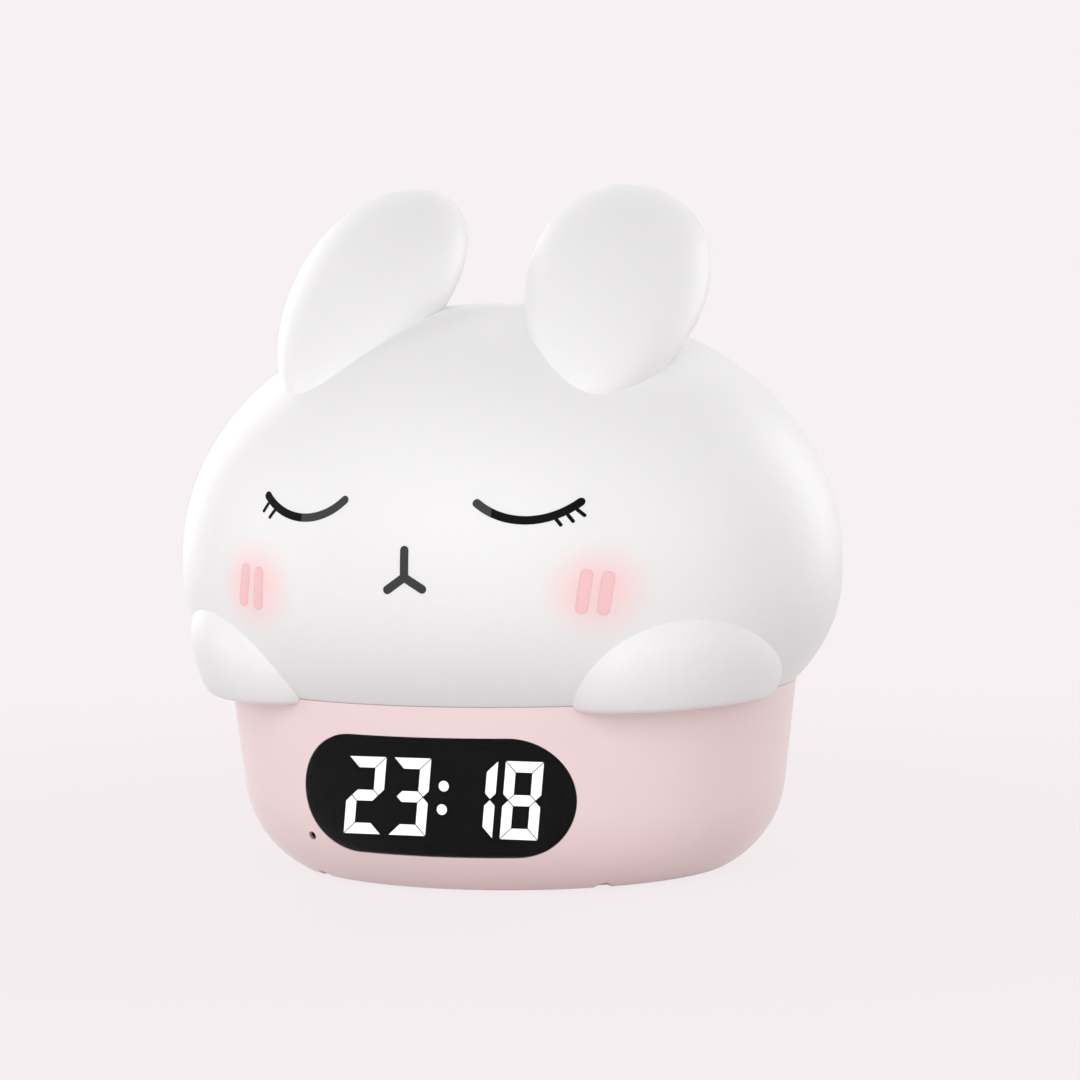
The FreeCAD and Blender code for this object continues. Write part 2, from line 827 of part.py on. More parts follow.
def key_cap(index):
    """A round key with a flange that stops it behind the panel and a stem on its back."""
    x = key_x(index)
    flange_back = panel_inner - key_play - key_flange_thickness
    cap = rod(key_width, V(x, flange_back, key_middle), V(x, panel_face + key_proud, key_middle))
    rim = [e for e in cap.Edges if e.BoundBox.YMin > panel_face]
    cap = cap.makeFillet(key_proud * 0.45, rim)
    flange = rod(key_width + 2 * key_flange, V(x, flange_back, key_middle), V(x, panel_inner - key_play, key_middle))
    stem = rod(key_stem_width, V(x, flange_back - key_stem_length, key_middle), V(x, flange_back, key_middle))
    return cap.fuse([flange, stem]).removeSplitter()


def plunger_face():
    return panel_inner - key_play - key_flange_thickness - key_stem_length


def key_plunger(index):
    """The small pin of the switch under a key."""
    x = key_x(index)
    return rod(plunger_width, V(x, plunger_face() - plunger_length, key_middle), V(x, plunger_face(), key_middle))


def tact_switches():
    """Five small switches on the key board, each with a bore for its plunger."""
    front = key_board_back()
    switches = []
    s = tact_size / 2
    for i in range(key_count):
        x = key_x(i)
        body = box(x - s, x + s, front, front + tact_depth, key_middle - s, key_middle + s)
        bore_floor = plunger_face() - plunger_length - key_travel - 0.2
        bore = rod(plunger_width + 2 * plunger_fit, V(x, bore_floor, key_middle), V(x, front + tact_depth, key_middle))
        switches.append(body.cut(bore))
    return Part.makeCompound(switches)


def key_board():
    """The board that carries the five switches."""
    y1 = key_board_back()
    y0 = y1 - key_board_thickness
    half = key_board_height / 2
    plate = box(-key_board_half_length, key_board_half_length, y0, y1, key_middle - half, key_middle + half)
    holes = [hole(V(s * key_board_screw_reach, y0, key_middle), BACK, key_board_thickness, pass_fit) for s in (-1, 1)]
    return plate.cut(holes)


def key_board_screws():
    y0 = key_board_back() - key_board_thickness
    return Part.makeCompound([screw(V(s * key_board_screw_reach, y0, key_middle), BACK, short_screw)
                              for s in (-1, 1)])


def bottom_plate():
    """The underside cover, with the speaker's grille, screw seats, pad seats and bosses."""
    step = base_floor + cover_seat_depth
    plate = oval_plate(opening_radius + cover_seat_width - plate_fit, base_floor, step)
    plate = plate.fuse(oval_plate(opening_radius - plate_fit, base_floor, plate_top))
    adds = []
    for p in board_screw_points(plate_top - 0.5):
        adds.append(rod(board_boss_width, p, V(p.x, p.y, board_floor)))
    gasket_wall = Part.makeCylinder(speaker_radius + 1.4, 2.5, V(0, 0, plate_top - 0.5))
    adds.append(gasket_wall.cut(Part.makeCylinder(speaker_radius + 0.3, 3, V(0, 0, plate_top - 0.5))))
    plate = plate.fuse(adds)
    cuts = []
    for ring in range(grille_rings + 1):
        for i in range(max(1, 6 * ring)):
            angle = 2 * math.pi * i / max(1, 6 * ring)
            p = V(ring * grille_pitch * math.cos(angle), ring * grille_pitch * math.sin(angle), base_floor - 1)
            cuts.append(Part.makeCylinder(grille_hole / 2, plate_thickness + 2, p))
    for p in post_points(base_floor):
        cuts.append(Part.makeCylinder(screw_head_width / 2 + pass_fit, screw_seat_depth, p))
        cuts.append(hole(p, UP, plate_thickness, pass_fit))
    for p in foot_points(base_floor):
        cuts.append(Part.makeCylinder(foot_width / 2 + foot_fit, foot_thickness - foot_proud, p))
    cuts += [hole(p, -UP, short_screw, screw_fit) for p in board_screw_points(board_floor)]
    return plate.cut(cuts).removeSplitter()


def base_screws():
    return Part.makeCompound([screw(p, UP, long_screw) for p in post_points(base_floor + screw_seat_depth)])


def foot_points(z):
    return [plan_point(foot_reach, azimuth, z) for azimuth in (90, -90, 180, 0)]


def foot_pads():
    """Four round pads that the clock rests on."""
    pads = []
    for p in foot_points(0):
        pad = Part.makeCylinder(foot_width / 2, foot_thickness, p)
        low = [e for e in pad.Edges if e.BoundBox.ZMax < 0.01]
        pads.append(pad.makeFillet(foot_proud * 0.5, low))
    return Part.makeCompound(pads)


def speaker_gasket_ring():
    ring = Part.makeCylinder(speaker_radius, speaker_gasket, V(0, 0, plate_top))
    return ring.cut(Part.makeCylinder(speaker_radius - 2.2, speaker_gasket, V(0, 0, plate_top)))


def speaker_frame():
    """The speaker's steel basket: a rim, a round side and a seat for its magnet."""
    top = speaker_floor + speaker_frame_height
    side = Part.makeCone(speaker_radius, speaker_magnet_radius + 1.5, speaker_frame_height, V(0, 0, speaker_floor))
    hollow = Part.makeCone(speaker_radius - speaker_wall, speaker_magnet_radius + 1.5 - speaker_wall,
                           speaker_frame_height, V(0, 0, speaker_floor - speaker_wall))
    frame = side.cut(hollow)
    ports = []
    for i in range(4):
        port = box(-1.6, 1.6, speaker_magnet_radius, speaker_radius - 1.6, speaker_floor + 1.0, top - 0.9)
        port.rotate(V(0, 0, 0), UP, 45 + 90 * i)
        ports.append(port)
    return frame.cut(ports).removeSplitter()


def speaker_cone():
    """The paper cone with its dust cap, open to the grille."""
    rim = speaker_radius - speaker_wall - 1.6
    points = [V(rim, 0, speaker_floor), V(rim, 0, speaker_floor + 0.3), V(4.6, 0, speaker_floor + 2.0),
              V(0, 0, speaker_floor + 2.0), V(0, 0, speaker_floor + 1.2), V(3.6, 0, speaker_floor + 1.2)]
    points.append(V(rim - 0.9, 0, speaker_floor))
    edges = [line(a, b) for a, b in zip(points, points[1:] + points[:1])]
    return turned(edges)


def speaker_magnet():
    z = speaker_floor + speaker_frame_height
    return Part.makeCylinder(speaker_magnet_radius, speaker_magnet_height, V(0, 0, z))


def board_screw_points(z):
    r = board_screw_reach
    return [V(sx * r, sy * r, z) for sx in (-1, 1) for sy in (-1, 1)]


def main_board():
    """The main board, with a tongue that reaches the control panel."""
    w = board_half_width
    plate = box(-w, w, -board_half_depth, board_half_depth, board_floor, board_top)
    tongue = box(-board_tongue_left, board_tongue_right, board_half_depth - 1, board_tongue_back,
                 board_floor, board_top)
    board = plate.fuse(tongue).removeSplitter()
    return board.cut([hole(p, -UP, board_thickness, pass_fit) for p in board_screw_points(board_top)])


def main_board_screws():
    return Part.makeCompound([screw(p, -UP, short_screw) for p in board_screw_points(board_top)])


def board_chips():
    """The processor, the sound chip, the charge chip and the clock's crystal."""
    z = board_top
    sound = V(board_half_width - 11.0, -board_half_depth + 10.0, z)
    charge = V(2.0, board_tongue_back - 14.4, z)
    crystal = V(-board_half_width + 7.0, -4.0, z + 1.5)
    chips = [box(-5, 4, -6, 3, z, z + 1.4)]
    chips.append(Part.makeBox(5.0, 5.0, 1.5, sound))
    chips.append(Part.makeBox(4.0, 4.0, 1.2, charge))
    chips.append(Part.makeCylinder(1.5, 6.0, crystal, BACK))
    return Part.makeCompound(chips)


def board_capacitors():
    """Two round capacitors and a row of small parts."""
    z = board_top
    back = board_half_depth - 8.0
    parts = [Part.makeCylinder(2.5, 5.4, V(9, back - 1, z)), Part.makeCylinder(2.0, 4.6, V(3, back, z))]
    for i in range(6):
        parts.append(box(-9 + 2.6 * i, -7.4 + 2.6 * i, -13.4, -12.6, z, z + 0.8))
    for i in range(4):
        parts.append(box(-6.0, -5.2, 6 + 2.4 * i, 7.6 + 2.4 * i, z, z + 0.8))
    return Part.makeCompound(parts)


def tap_sensor():
    """The small can that feels a pat on the head."""
    return Part.makeCylinder(2.0, 7.0, V(-lead_socket_side, 4.0, board_top + 2.0), BACK)


def socket_outline(grow, y0, y1):
    return stadium(socket_width / 2 + grow, socket_height + 2 * grow, board_top + socket_height / 2, y0, y1)


def socket_hole():
    return socket_outline(socket_fit, panel_inner - 1, panel_face + 1)


def usb_socket_shell():
    """The steel shell of the charge socket, closed at its back."""
    y0 = socket_back - socket_depth
    shell = socket_outline(0, y0, socket_back)
    return shell.cut(socket_outline(-socket_wall, y0 + socket_wall * 2, socket_back))


def usb_socket_core():
    """The plastic core of the charge socket with its tongue."""
    y0 = socket_back - socket_depth + socket_wall * 2
    root = socket_outline(-socket_wall, y0, y0 + 1.2)
    z = board_top + socket_height / 2
    tongue = box(-3.35, 3.35, y0 + 1.0, socket_back - 0.7, z - 0.35, z + 0.35)
    return root.fuse(tongue).removeSplitter()


def knob_slot():
    """The slot in the panel that the power switch's knob slides in."""
    half = knob_height / 2 + knob_fit
    x0 = -switch_side - knob_width / 2 - knob_fit
    x1 = x0 + knob_width + switch_travel + 2 * knob_fit
    return box(x0, x1, panel_inner - 1, panel_face + 1, knob_z - half, knob_z + half)


def switch_body():
    """The power switch's can, slotted for its knob."""
    centre = -switch_side + switch_travel / 2
    y0 = board_tongue_back - switch_depth
    body = box(centre - switch_width / 2, centre + switch_width / 2, y0, board_tongue_back,
               board_top, board_top + switch_height)
    half = knob_height / 2 + knob_fit
    x0 = -switch_side - knob_width / 2 - knob_fit
    x1 = x0 + knob_width + switch_travel + 2 * knob_fit
    return body.cut(box(x0, x1, y0 + 1.4, board_tongue_back, knob_z - half, knob_z + half))


def switch_knob():
    """The knob of the power switch, off at rest."""
    y0 = board_tongue_back - switch_depth + 1.6
    x0 = -switch_side - knob_width / 2
    half = knob_height / 2
    return box(x0, x0 + knob_width, y0, panel_face + knob_proud, knob_z - half, knob_z + half)


def battery_cell():
    """The flat cell, its long edges rounded."""
    z1 = deck_floor - battery_pad
    z0 = z1 - battery_height
    cell = box(-battery_length / 2, battery_length / 2, -battery_width / 2, battery_width / 2, z0, z1)
    edges = [e for e in cell.Edges if abs(e.tangentAt(e.FirstParameter).x) > 0.99]
    return cell.makeFillet(battery_height * 0.3, edges)


def battery_foam():
    margin = battery_height * 0.3 + 0.7
    return box(-battery_length / 2 + 2, battery_length / 2 - 2, -battery_width / 2 + margin,
               battery_width / 2 - margin, deck_floor - battery_pad, deck_floor)


def tube(points, width, bend):
    """A round lead along straight runs joined by arcs of one radius."""
    edges = []
    start = points[0]
    for before, corner, after in zip(points, points[1:], points[2:]):
        a = before - corner
        b = after - corner
        a.normalize()
        b.normalize()
        half = a.getAngle(b) / 2
        reach = bend / math.tan(half)
        first = corner + a * reach
        last = corner + b * reach
        bisector = a + b
        bisector.normalize()
        middle = corner + bisector * (bend / math.sin(half) - bend)
        edges += [line(start, first), Part.Arc(first, middle, last).toShape()]
        start = last
    edges.append(line(start, points[-1]))
    path = Part.Wire(edges)
    tangent = points[1] - points[0]
    circle = Part.Wire([Part.Circle(points[0], tangent, width / 2).toShape()])
    return path.makePipeShell([circle], True, True)


def board_sockets():
    """White sockets on the main board for the leads to the lamp, cell and speaker."""
    sockets = []
    for p in socket_points():
        sockets.append(box(p.x - 2.4, p.x + 2.4, p.y - 1.6, p.y + 1.6, board_top, p.z))
    return Part.makeCompound(sockets)


def socket_points():
    """Where the leads to the lamp, the cell and the speaker leave the main board."""
    z = board_top + lead_socket_height
    return [V(0, -lead_hole_forward, z), V(lead_socket_side, -0.5, z), V(-lead_socket_side, -10.5, z)]


def lead_pair(points, spread):
    """Two wires side by side along one route."""
    wires = []
    for side in (-wire_spread, wire_spread):
        wires.append(tube([p + spread * side for p in points], wire_width, wire_bend))
    return Part.makeCompound(wires)


def lamp_lead():
    """The pair from the main board straight up through the deck to the lamp board."""
    start = socket_points()[0]
    end = V(start.x, start.y, seam + lamp_board_lift - lamp_socket_drop)
    return lead_pair([start, end], RIGHT)


def battery_lead():
    """The pair from the cell's end to its socket."""
    start = V(battery_length / 2, 0, deck_floor - battery_pad - battery_height / 2)
    end = socket_points()[1]
    points = [start, start + V(4.2, 0, 0), V(start.x + 4.2, start.y, end.z + 5.0), V(end.x, end.y, end.z + 5.0), end]
    return lead_pair(points, BACK)


def speaker_lead():
    """The pair from the speaker's rim, round the board's edge, to its socket."""
    end = socket_points()[2]
    start = V(-speaker_magnet_radius - 2.6, -6.5, speaker_floor + speaker_frame_height - 0.2)
    side = -board_half_width - 3.0
    points = [start, V(start.x, start.y, start.z + 2.8), V(side, start.y, start.z + 2.8),
              V(side, end.y, end.z + 3.0), V(end.x, end.y, end.z + 3.0), end]
    return lead_pair(points, BACK)


def ribbon(points, width, axis):
    """A flat ribbon of straight runs, folded at each point."""
    strips = []
    half = width / 2
    for a, b in zip(points, points[1:]):
        run = b - a
        run.normalize()
        face = run.cross(axis)
        t = ribbon_thickness / 2
        corners = [a - run * t - face * t, b + run * t - face * t, b + run * t + face * t, a - run * t + face * t]
        corners = [c - axis * half for c in corners]
        outline = [line(p, q) for p, q in zip(corners, corners[1:] + corners[:1])]
        strips.append(Part.Face(Part.Wire(outline)).extrude(axis * width))
    return fused(strips)


def display_ribbon():
    """The ribbon from the display's board to the main board's front edge."""
    y0 = -display_face + display_depth + display_board_thickness
    t = ribbon_thickness / 2
    z = board_top + t + ribbon_lift
    x = -display_ribbon_side
    points = [V(x, y0 + t, display_middle + 2.0), V(x, y0 + t, z + 1.5), V(x, y0 + 4.0, z + 1.5),
              V(x, -board_half_depth - 2.0, z), V(x, -board_half_depth + 1.0, z)]
    return ribbon(points, display_ribbon_width, RIGHT)


def key_ribbon():
    """The ribbon from the key board down to the main board's tongue."""
    y0 = key_board_back() - key_board_thickness
    t = ribbon_thickness / 2
    x = -key_ribbon_side
    z = board_top + t + ribbon_lift
    points = [V(x, y0 - t, key_middle - 1.5), V(x, y0 - t, key_middle - key_board_height / 2 - 1.2),
              V(x, y0 - 3.4, z), V(x, y0 - 5.4, z)]
    return ribbon(points, key_ribbon_width, RIGHT)


def all_nodes():
    """Every piece by its name."""
    nodes = {
        "silicone_cover": silicone_cover(),
        "clamp_ring": clamp_ring(),
        "clamp_ring_screws": clamp_ring_screws(),
        "top_deck": top_deck(),
        "diffuser_cup": diffuser_cup(),
        "diffuser_screws": cup_screws(),
        "lamp_board": lamp_board(),
        "lamp_board_screws": lamp_board_screws(),
        "lamp_leds": lamp_leds(),
        "lamp_socket": lamp_socket(),
        "base_housing": base_housing(),
        "display_window": display_window(),
        "window_tape": window_tape(),
        "display_block": display_block(),
        "digit_segments_lit": display_segments(True),
        "digit_segments_dark": display_segments(False),
        "display_board": display_board(),
        "display_board_screws": display_board_screws(),
        "light_sensor": light_sensor(),
        "sensor_sleeve": sensor_sleeve(),
        "tact_switches": tact_switches(),
        "key_board": key_board(),
        "key_board_screws": key_board_screws(),
        "bottom_plate": bottom_plate(),
        "base_screws": base_screws(),
        "foot_pads": foot_pads(),
        "speaker_gasket": speaker_gasket_ring(),
        "speaker_frame": speaker_frame(),
        "speaker_cone": speaker_cone(),
        "speaker_magnet": speaker_magnet(),
        "main_board": main_board(),
        "main_board_screws": main_board_screws(),
        "board_chips": board_chips(),
        "board_capacitors": board_capacitors(),
        "board_sockets": board_sockets(),
        "tap_sensor": tap_sensor(),
        "usb_socket_shell": usb_socket_shell(),
        "usb_socket_core": usb_socket_core(),
        "power_switch_body": switch_body(),
        "power_switch_knob": switch_knob(),
        "battery_cell": battery_cell(),
        "battery_foam": battery_foam(),
        "lamp_lead": lamp_lead(),
        "battery_lead": battery_lead(),
        "speaker_lead": speaker_lead(),
        "display_ribbon": display_ribbon(),
        "key_ribbon": key_ribbon(),
    }
    for index, name in enumerate(key_names):
        nodes["key_" + name] = key_cap(index)
        nodes["plunger_" + name] = key_plunger(index)
    return nodes


os.makedirs("parts", exist_ok=True)
for node_name, node_shape in all_nodes().items():
    size = node_shape.BoundBox
    print("%-22s solids %2d valid %s volume %9.1f  x %6.1f %6.1f  y %6.1f %6.1f  z %6.1f %6.1f" % (
        node_name, len(node_shape.Solids), node_shape.isValid(), node_shape.Volume,
        size.XMin, size.XMax, size.YMin, size.YMax, size.ZMin, size.ZMax))
    node_shape.exportStep("parts/%s.step" % node_name)
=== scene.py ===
"""The looks of a bedside alarm clock: a soft white animal head, its night light, over a pink base.

Metres. X runs across the face, Y from the face to the back, Z up from the table.
"""
import json
import math

import bpy
from mathutils import Matrix, Vector

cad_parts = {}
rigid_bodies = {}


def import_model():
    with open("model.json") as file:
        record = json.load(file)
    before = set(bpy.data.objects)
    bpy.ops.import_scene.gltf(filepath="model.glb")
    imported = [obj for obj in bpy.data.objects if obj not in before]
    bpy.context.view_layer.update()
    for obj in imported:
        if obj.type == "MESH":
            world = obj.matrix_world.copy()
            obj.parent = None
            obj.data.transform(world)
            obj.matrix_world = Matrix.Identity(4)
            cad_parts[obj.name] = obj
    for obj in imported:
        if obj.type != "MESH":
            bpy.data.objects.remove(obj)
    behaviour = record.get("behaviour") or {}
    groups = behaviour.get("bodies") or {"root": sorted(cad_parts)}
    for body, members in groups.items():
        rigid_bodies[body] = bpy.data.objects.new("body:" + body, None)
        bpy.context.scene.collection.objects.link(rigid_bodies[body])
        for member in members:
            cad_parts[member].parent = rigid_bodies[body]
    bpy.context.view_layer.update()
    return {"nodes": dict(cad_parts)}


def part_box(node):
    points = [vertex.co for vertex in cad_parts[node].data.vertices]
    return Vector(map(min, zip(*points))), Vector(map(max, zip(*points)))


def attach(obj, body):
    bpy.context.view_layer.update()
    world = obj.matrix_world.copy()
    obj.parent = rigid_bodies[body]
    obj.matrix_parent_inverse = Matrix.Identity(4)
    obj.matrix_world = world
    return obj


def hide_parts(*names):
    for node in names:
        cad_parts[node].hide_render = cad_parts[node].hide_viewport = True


for leftover in list(bpy.data.objects):
    bpy.data.objects.remove(leftover)
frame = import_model()

bl_info = {
    "name": "Bedside clock with a night light",
    "version": (1, 0, 0),
    "blender": (4, 5, 0),
    "location": "3D View > Sidebar > Bedside clock",
    "description": "Makes the soft head, the printed face and the finishes of a bedside clock",
    "category": "Object",
}

MM = 0.001
NODES = frame["nodes"]
BODY = "clock"
KEYS = ("mode", "minus", "plus", "alarm", "light")

BASE_HALF_WIDTH, _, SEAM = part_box("base_housing")[1]
OVAL = 0.92

# Ears and paws: half sizes, turns in degrees about Z, X and Z, and centres above the seam
EAR_HALVES = Vector((17.0, 10.9, 31.8)) * MM
EAR_TIP_GROWTH = 0.21
EAR_TURNS = (10.5, -53.4, 4.6)
EAR_CENTRE = Vector((25.1, -11.7, 74.1)) * MM
PAW_HALVES = Vector((25.6, 19.1, 12.7)) * MM
PAW_TURNS = (6.7, -50.9, 62.8)
PAW_CENTRE = Vector((40.7, -25.0, 3.2)) * MM
PAW_HANG = 1.4 * MM
PAW_GRAIN = 0.7 * MM
PAW_SOFTENING = 9

# The base's side under the head: a taper down to a shoulder, with a gap left for the parting line
BASE_FIT = 0.15 * MM
BASE_TAPER = 2.4 * MM
SHOULDER_DROP = 20.4 * MM
PARTING_GAP = 0.5 * MM
# Height of the band of painted shade along the base's top edge, standing in for the seam's shadow
SEAM_SHADE_BAND = 0.3 * MM
UNDER_TABLE = -10 * MM


# Sizes and colours

class ClockSizes(bpy.types.PropertyGroup):
    """Sizes of the soft head and of the face printed on it."""
    half_width: bpy.props.FloatProperty(
        name="Head half width", description="From the middle to the widest side of the head",
        default=65.0 * MM, unit="LENGTH", subtype="DISTANCE")
    rise: bpy.props.FloatProperty(
        name="Head rise", description="From the head's widest level to its crown",
        default=50.8 * MM, unit="LENGTH", subtype="DISTANCE")
    drop: bpy.props.FloatProperty(
        name="Head drop", description="From the head's widest level to where its outline would close",
        default=39.3 * MM, unit="LENGTH", subtype="DISTANCE")
    widest: bpy.props.FloatProperty(
        name="Widest level", description="From the seam to the head's widest level",
        default=22.3 * MM, unit="LENGTH", subtype="DISTANCE")
    upper_roundness: bpy.props.FloatProperty(
        name="Upper roundness", description="Two is an ellipse, more is squarer", default=2.12)
    lower_roundness: bpy.props.FloatProperty(
        name="Lower roundness", description="Two is an ellipse, more is squarer", default=2.23)
    crease: bpy.props.FloatProperty(
        name="Crease angle", description="A sharper bend than this stays a crease",
        default=math.radians(20), subtype="ANGLE")
    eye_width: bpy.props.FloatProperty(
        name="Eye line", description="Width of the line that draws a closed eye",
        default=1.5 * MM, unit="LENGTH", subtype="DISTANCE")
    lash_width: bpy.props.FloatProperty(
        name="Lash line", description="Width of an eyelash",
        default=0.62 * MM, unit="LENGTH", subtype="DISTANCE")
    mouth_width: bpy.props.FloatProperty(
        name="Mouth line", description="Width of the line that draws the mouth",
        default=1.6 * MM, unit="LENGTH", subtype="DISTANCE")
    ink: bpy.props.FloatProperty(
        name="Ink thickness", description="How far the print stands off the silicone",
        default=0.05 * MM, unit="LENGTH", subtype="DISTANCE")


class ClockColours(bpy.types.PropertyGroup):
    """Colours of the clock, as they are seen."""
    silicone: bpy.props.FloatVectorProperty(
        name="Silicone", description="Head, ears and paws", size=3, subtype="COLOR",
        default=(0.875, 0.87, 0.87))
    blush: bpy.props.FloatVectorProperty(
        name="Blush", description="Middle of a cheek", size=3, subtype="COLOR",
        default=(1.0, 0.665, 0.665))
    cheek_bar: bpy.props.FloatVectorProperty(
        name="Cheek bars", description="The two short bars on a cheek", size=3, subtype="COLOR",
        default=(0.98, 0.61, 0.62))
    # Painted shade: a darker line round each cheek bar, standing in for the shaded edge of a raised bar
    cheek_bar_shade: bpy.props.FloatVectorProperty(
        name="Cheek bar shade", description="The darker line round a cheek bar", size=3, subtype="COLOR",
        default=(0.90, 0.60, 0.60))
    pink: bpy.props.FloatVectorProperty(
        name="Pink", description="Base, keys and underside", size=3, subtype="COLOR",
        default=(0.90, 0.715, 0.715))
    ink_black: bpy.props.FloatVectorProperty(
        name="Black ink", description="Outer part of the eyes, and the lashes", size=3, subtype="COLOR",
        default=(0.003, 0.003, 0.003))
    # One grey for the painted highlight on the eyes' inner parts and for the mouth's grey print
    grey_print_and_eye_highlight: bpy.props.FloatVectorProperty(
        name="Grey print and eye highlight", description="Inner part of the eyes, and the mouth", size=3, subtype="COLOR",
        default=(0.055, 0.055, 0.055))


class ClockStage(bpy.types.PropertyGroup):
    """Where the clock is seen from, and the light on it."""
    camera_place: bpy.props.FloatVectorProperty(
        name="Camera place", description="Where the camera stands", size=3, subtype="TRANSLATION",
        default=(0.2279, -0.66186, 0.11412))
    yaw: bpy.props.FloatProperty(
        name="Camera heading", description="Turn of the view from the +Y axis towards -X",
        default=math.radians(18.543), subtype="ANGLE")
    pitch: bpy.props.FloatProperty(
        name="Camera pitch", description="How far the view points down",
        default=math.radians(4.175), subtype="ANGLE")
    roll: bpy.props.FloatProperty(
        name="Camera roll", description="Turn of the camera about its own view",
        default=math.radians(-0.721), subtype="ANGLE")
    lens: bpy.props.FloatProperty(
        name="Lens", description="Focal length on a 36 mm frame, in millimetres", default=119.36)
    backdrop: bpy.props.FloatVectorProperty(
        name="Backdrop", description="Colour behind and under the clock", size=3, subtype="COLOR",
        default=(0.930, 0.880, 0.896))


# Selecting and making

def pick(form):
    """Select one object alone and make it active."""
    bpy.ops.object.select_all(action="DESELECT")
    form.select_set(True)
    bpy.context.view_layer.objects.active = form


def settle(form):
    """Put an object's place, turn and scale into its mesh."""
    pick(form)
    bpy.ops.object.transform_apply(location=True, rotation=True, scale=True)


def finish_modifier(form, kind, **settings):
    """Add a modifier, set it and apply it."""
    modifier = form.modifiers.new(kind.lower(), kind)
    for name, value in settings.items():
        setattr(modifier, name, value)
    pick(form)
    bpy.ops.object.modifier_apply(modifier=modifier.name)


def lathe(name, outline, steps):
    """A round form: a point is drawn out along a half outline, then spun about the Z axis."""
    bpy.ops.object.select_all(action="DESELECT")
    bpy.ops.mesh.primitive_plane_add(size=MM)
    form = bpy.context.active_object
    form.name = name
    bpy.ops.object.mode_set(mode="EDIT")
    bpy.ops.mesh.select_all(action="SELECT")
    bpy.ops.mesh.merge(type="CENTER")
    bpy.ops.transform.translate(value=outline[0])
    for a, b in zip(outline, outline[1:]):
        bpy.ops.mesh.extrude_region_move(TRANSFORM_OT_translate={"value": b - a})
    bpy.ops.mesh.select_all(action="SELECT")
    bpy.ops.mesh.spin(steps=steps, angle=2 * math.pi, center=(0, 0, 0), axis=(0, 0, 1))
    bpy.ops.mesh.select_all(action="SELECT")
    bpy.ops.mesh.remove_doubles(threshold=0.001 * MM)
    bpy.ops.mesh.normals_make_consistent(inside=False)
    bpy.ops.object.mode_set(mode="OBJECT")
    return form


def mirrored(form, name):
    """A copy with its own mesh on the other side of X = 0."""
    pick(form)
    bpy.ops.object.duplicate()
    copy = bpy.context.active_object
    copy.name = name
    copy.scale.x = -1
    settle(copy)
    bpy.ops.object.mode_set(mode="EDIT")
    bpy.ops.mesh.select_all(action="SELECT")
    bpy.ops.mesh.normals_make_consistent(inside=False)
    bpy.ops.object.mode_set(mode="OBJECT")
    return copy


def joined(forms, name):
    """Several forms as one object."""
    pick(forms[0])
    for form in forms:
        form.select_set(True)
    bpy.ops.object.join()
    whole = bpy.context.active_object
    whole.name = name
    whole.data.name = name
    return whole


def keep(form, material):
    """Name a finished piece's finish and let it move with the clock."""
    form.data.materials.clear()
    form.data.materials.append(material)
    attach(form, BODY)


# The head's outline

def head_radius(height, sizes):
    """The half length of the head's oval at a height above the seam."""
    level = height - sizes.widest
    roundness = sizes.upper_roundness if level > 0 else sizes.lower_roundness
    reach = sizes.rise if level > 0 else sizes.drop
    share = max(0.0, 1 - (abs(level) / reach) ** roundness)
    return sizes.half_width * share ** (1 / roundness)


def head_front(x, z, sizes):
    """The depth of the head's face at X and Z."""
    radius = head_radius(z - SEAM, sizes)
    return -OVAL * math.sqrt(max(radius ** 2 - x ** 2, 0.0))


def head_outline(sizes, steps=112):
    """Points from the crown down the side and under the head to its axis."""
    points = []
    for i in range(steps + 1):
        t = math.radians(90 - 180 * i / steps)
        if t >= 0:
            n, height = sizes.upper_roundness, sizes.rise
        else:
            n, height = sizes.lower_roundness, sizes.drop
        r = sizes.half_width * max(math.cos(t), 0.0) ** (2 / n)
        z = math.copysign(height * abs(math.sin(t)) ** (2 / n), t)
        points.append(Vector((r, 0, SEAM + sizes.widest + z)))
    points[0].x = 0
    points[-1].x = 0
    return points


# The soft head

def round_lobe(name, half_sizes, growth, turns, centre, steps=64):
    """An egg on the Z axis, flattened to its half sizes, turned and put in its place above the seam."""
    outline = []
    for i in range(steps + 1):
        t = math.radians(90 - 180 * i / steps)
        outline.append(Vector((max(math.cos(t), 0.0) * (1 + growth * math.sin(t)), 0, math.sin(t))))
    outline[0].x = 0
    outline[-1].x = 0
    lobe = lathe(name, outline, 2 * steps)
    lobe.scale = half_sizes
    settle(lobe)
    roll, tilt, turn = (math.radians(a) for a in turns)
    spin = Matrix.Rotation(turn, 3, "Z") @ Matrix.Rotation(tilt, 3, "X") @ Matrix.Rotation(roll, 3, "Z")
    lobe.rotation_euler = spin.to_euler()
    lobe.location = centre + Vector((0, 0, SEAM))
    settle(lobe)
    return lobe


def level_underside(form, height):
    """Cut a form off at a height and close it there."""
    pick(form)
    bpy.ops.object.mode_set(mode="EDIT")
    bpy.ops.mesh.select_all(action="SELECT")
    bpy.ops.mesh.bisect(plane_co=(0, 0, height), plane_no=(0, 0, 1), use_fill=True, clear_inner=True)
    bpy.ops.mesh.select_all(action="SELECT")
    bpy.ops.mesh.normals_make_consistent(inside=False)
    bpy.ops.object.mode_set(mode="OBJECT")


def cut_to_base(form):
    """Cut away what would stand inside the base, which is a tapered oval under the seam."""
    top = BASE_HALF_WIDTH + BASE_FIT
    edge = SEAM + PARTING_GAP
    shoulder = Vector((top - BASE_TAPER, 0, SEAM - SHOULDER_DROP))
    outline = [Vector((0, 0, edge)), Vector((top, 0, edge)), shoulder,
               Vector((shoulder.x, 0, UNDER_TABLE)), Vector((0, 0, UNDER_TABLE))]
    base = lathe("base_form", outline, 192)
    base.scale.y = OVAL
    settle(base)
    finish_modifier(form, "BOOLEAN", operation="DIFFERENCE", object=base, solver="EXACT")
    bpy.data.objects.remove(base)


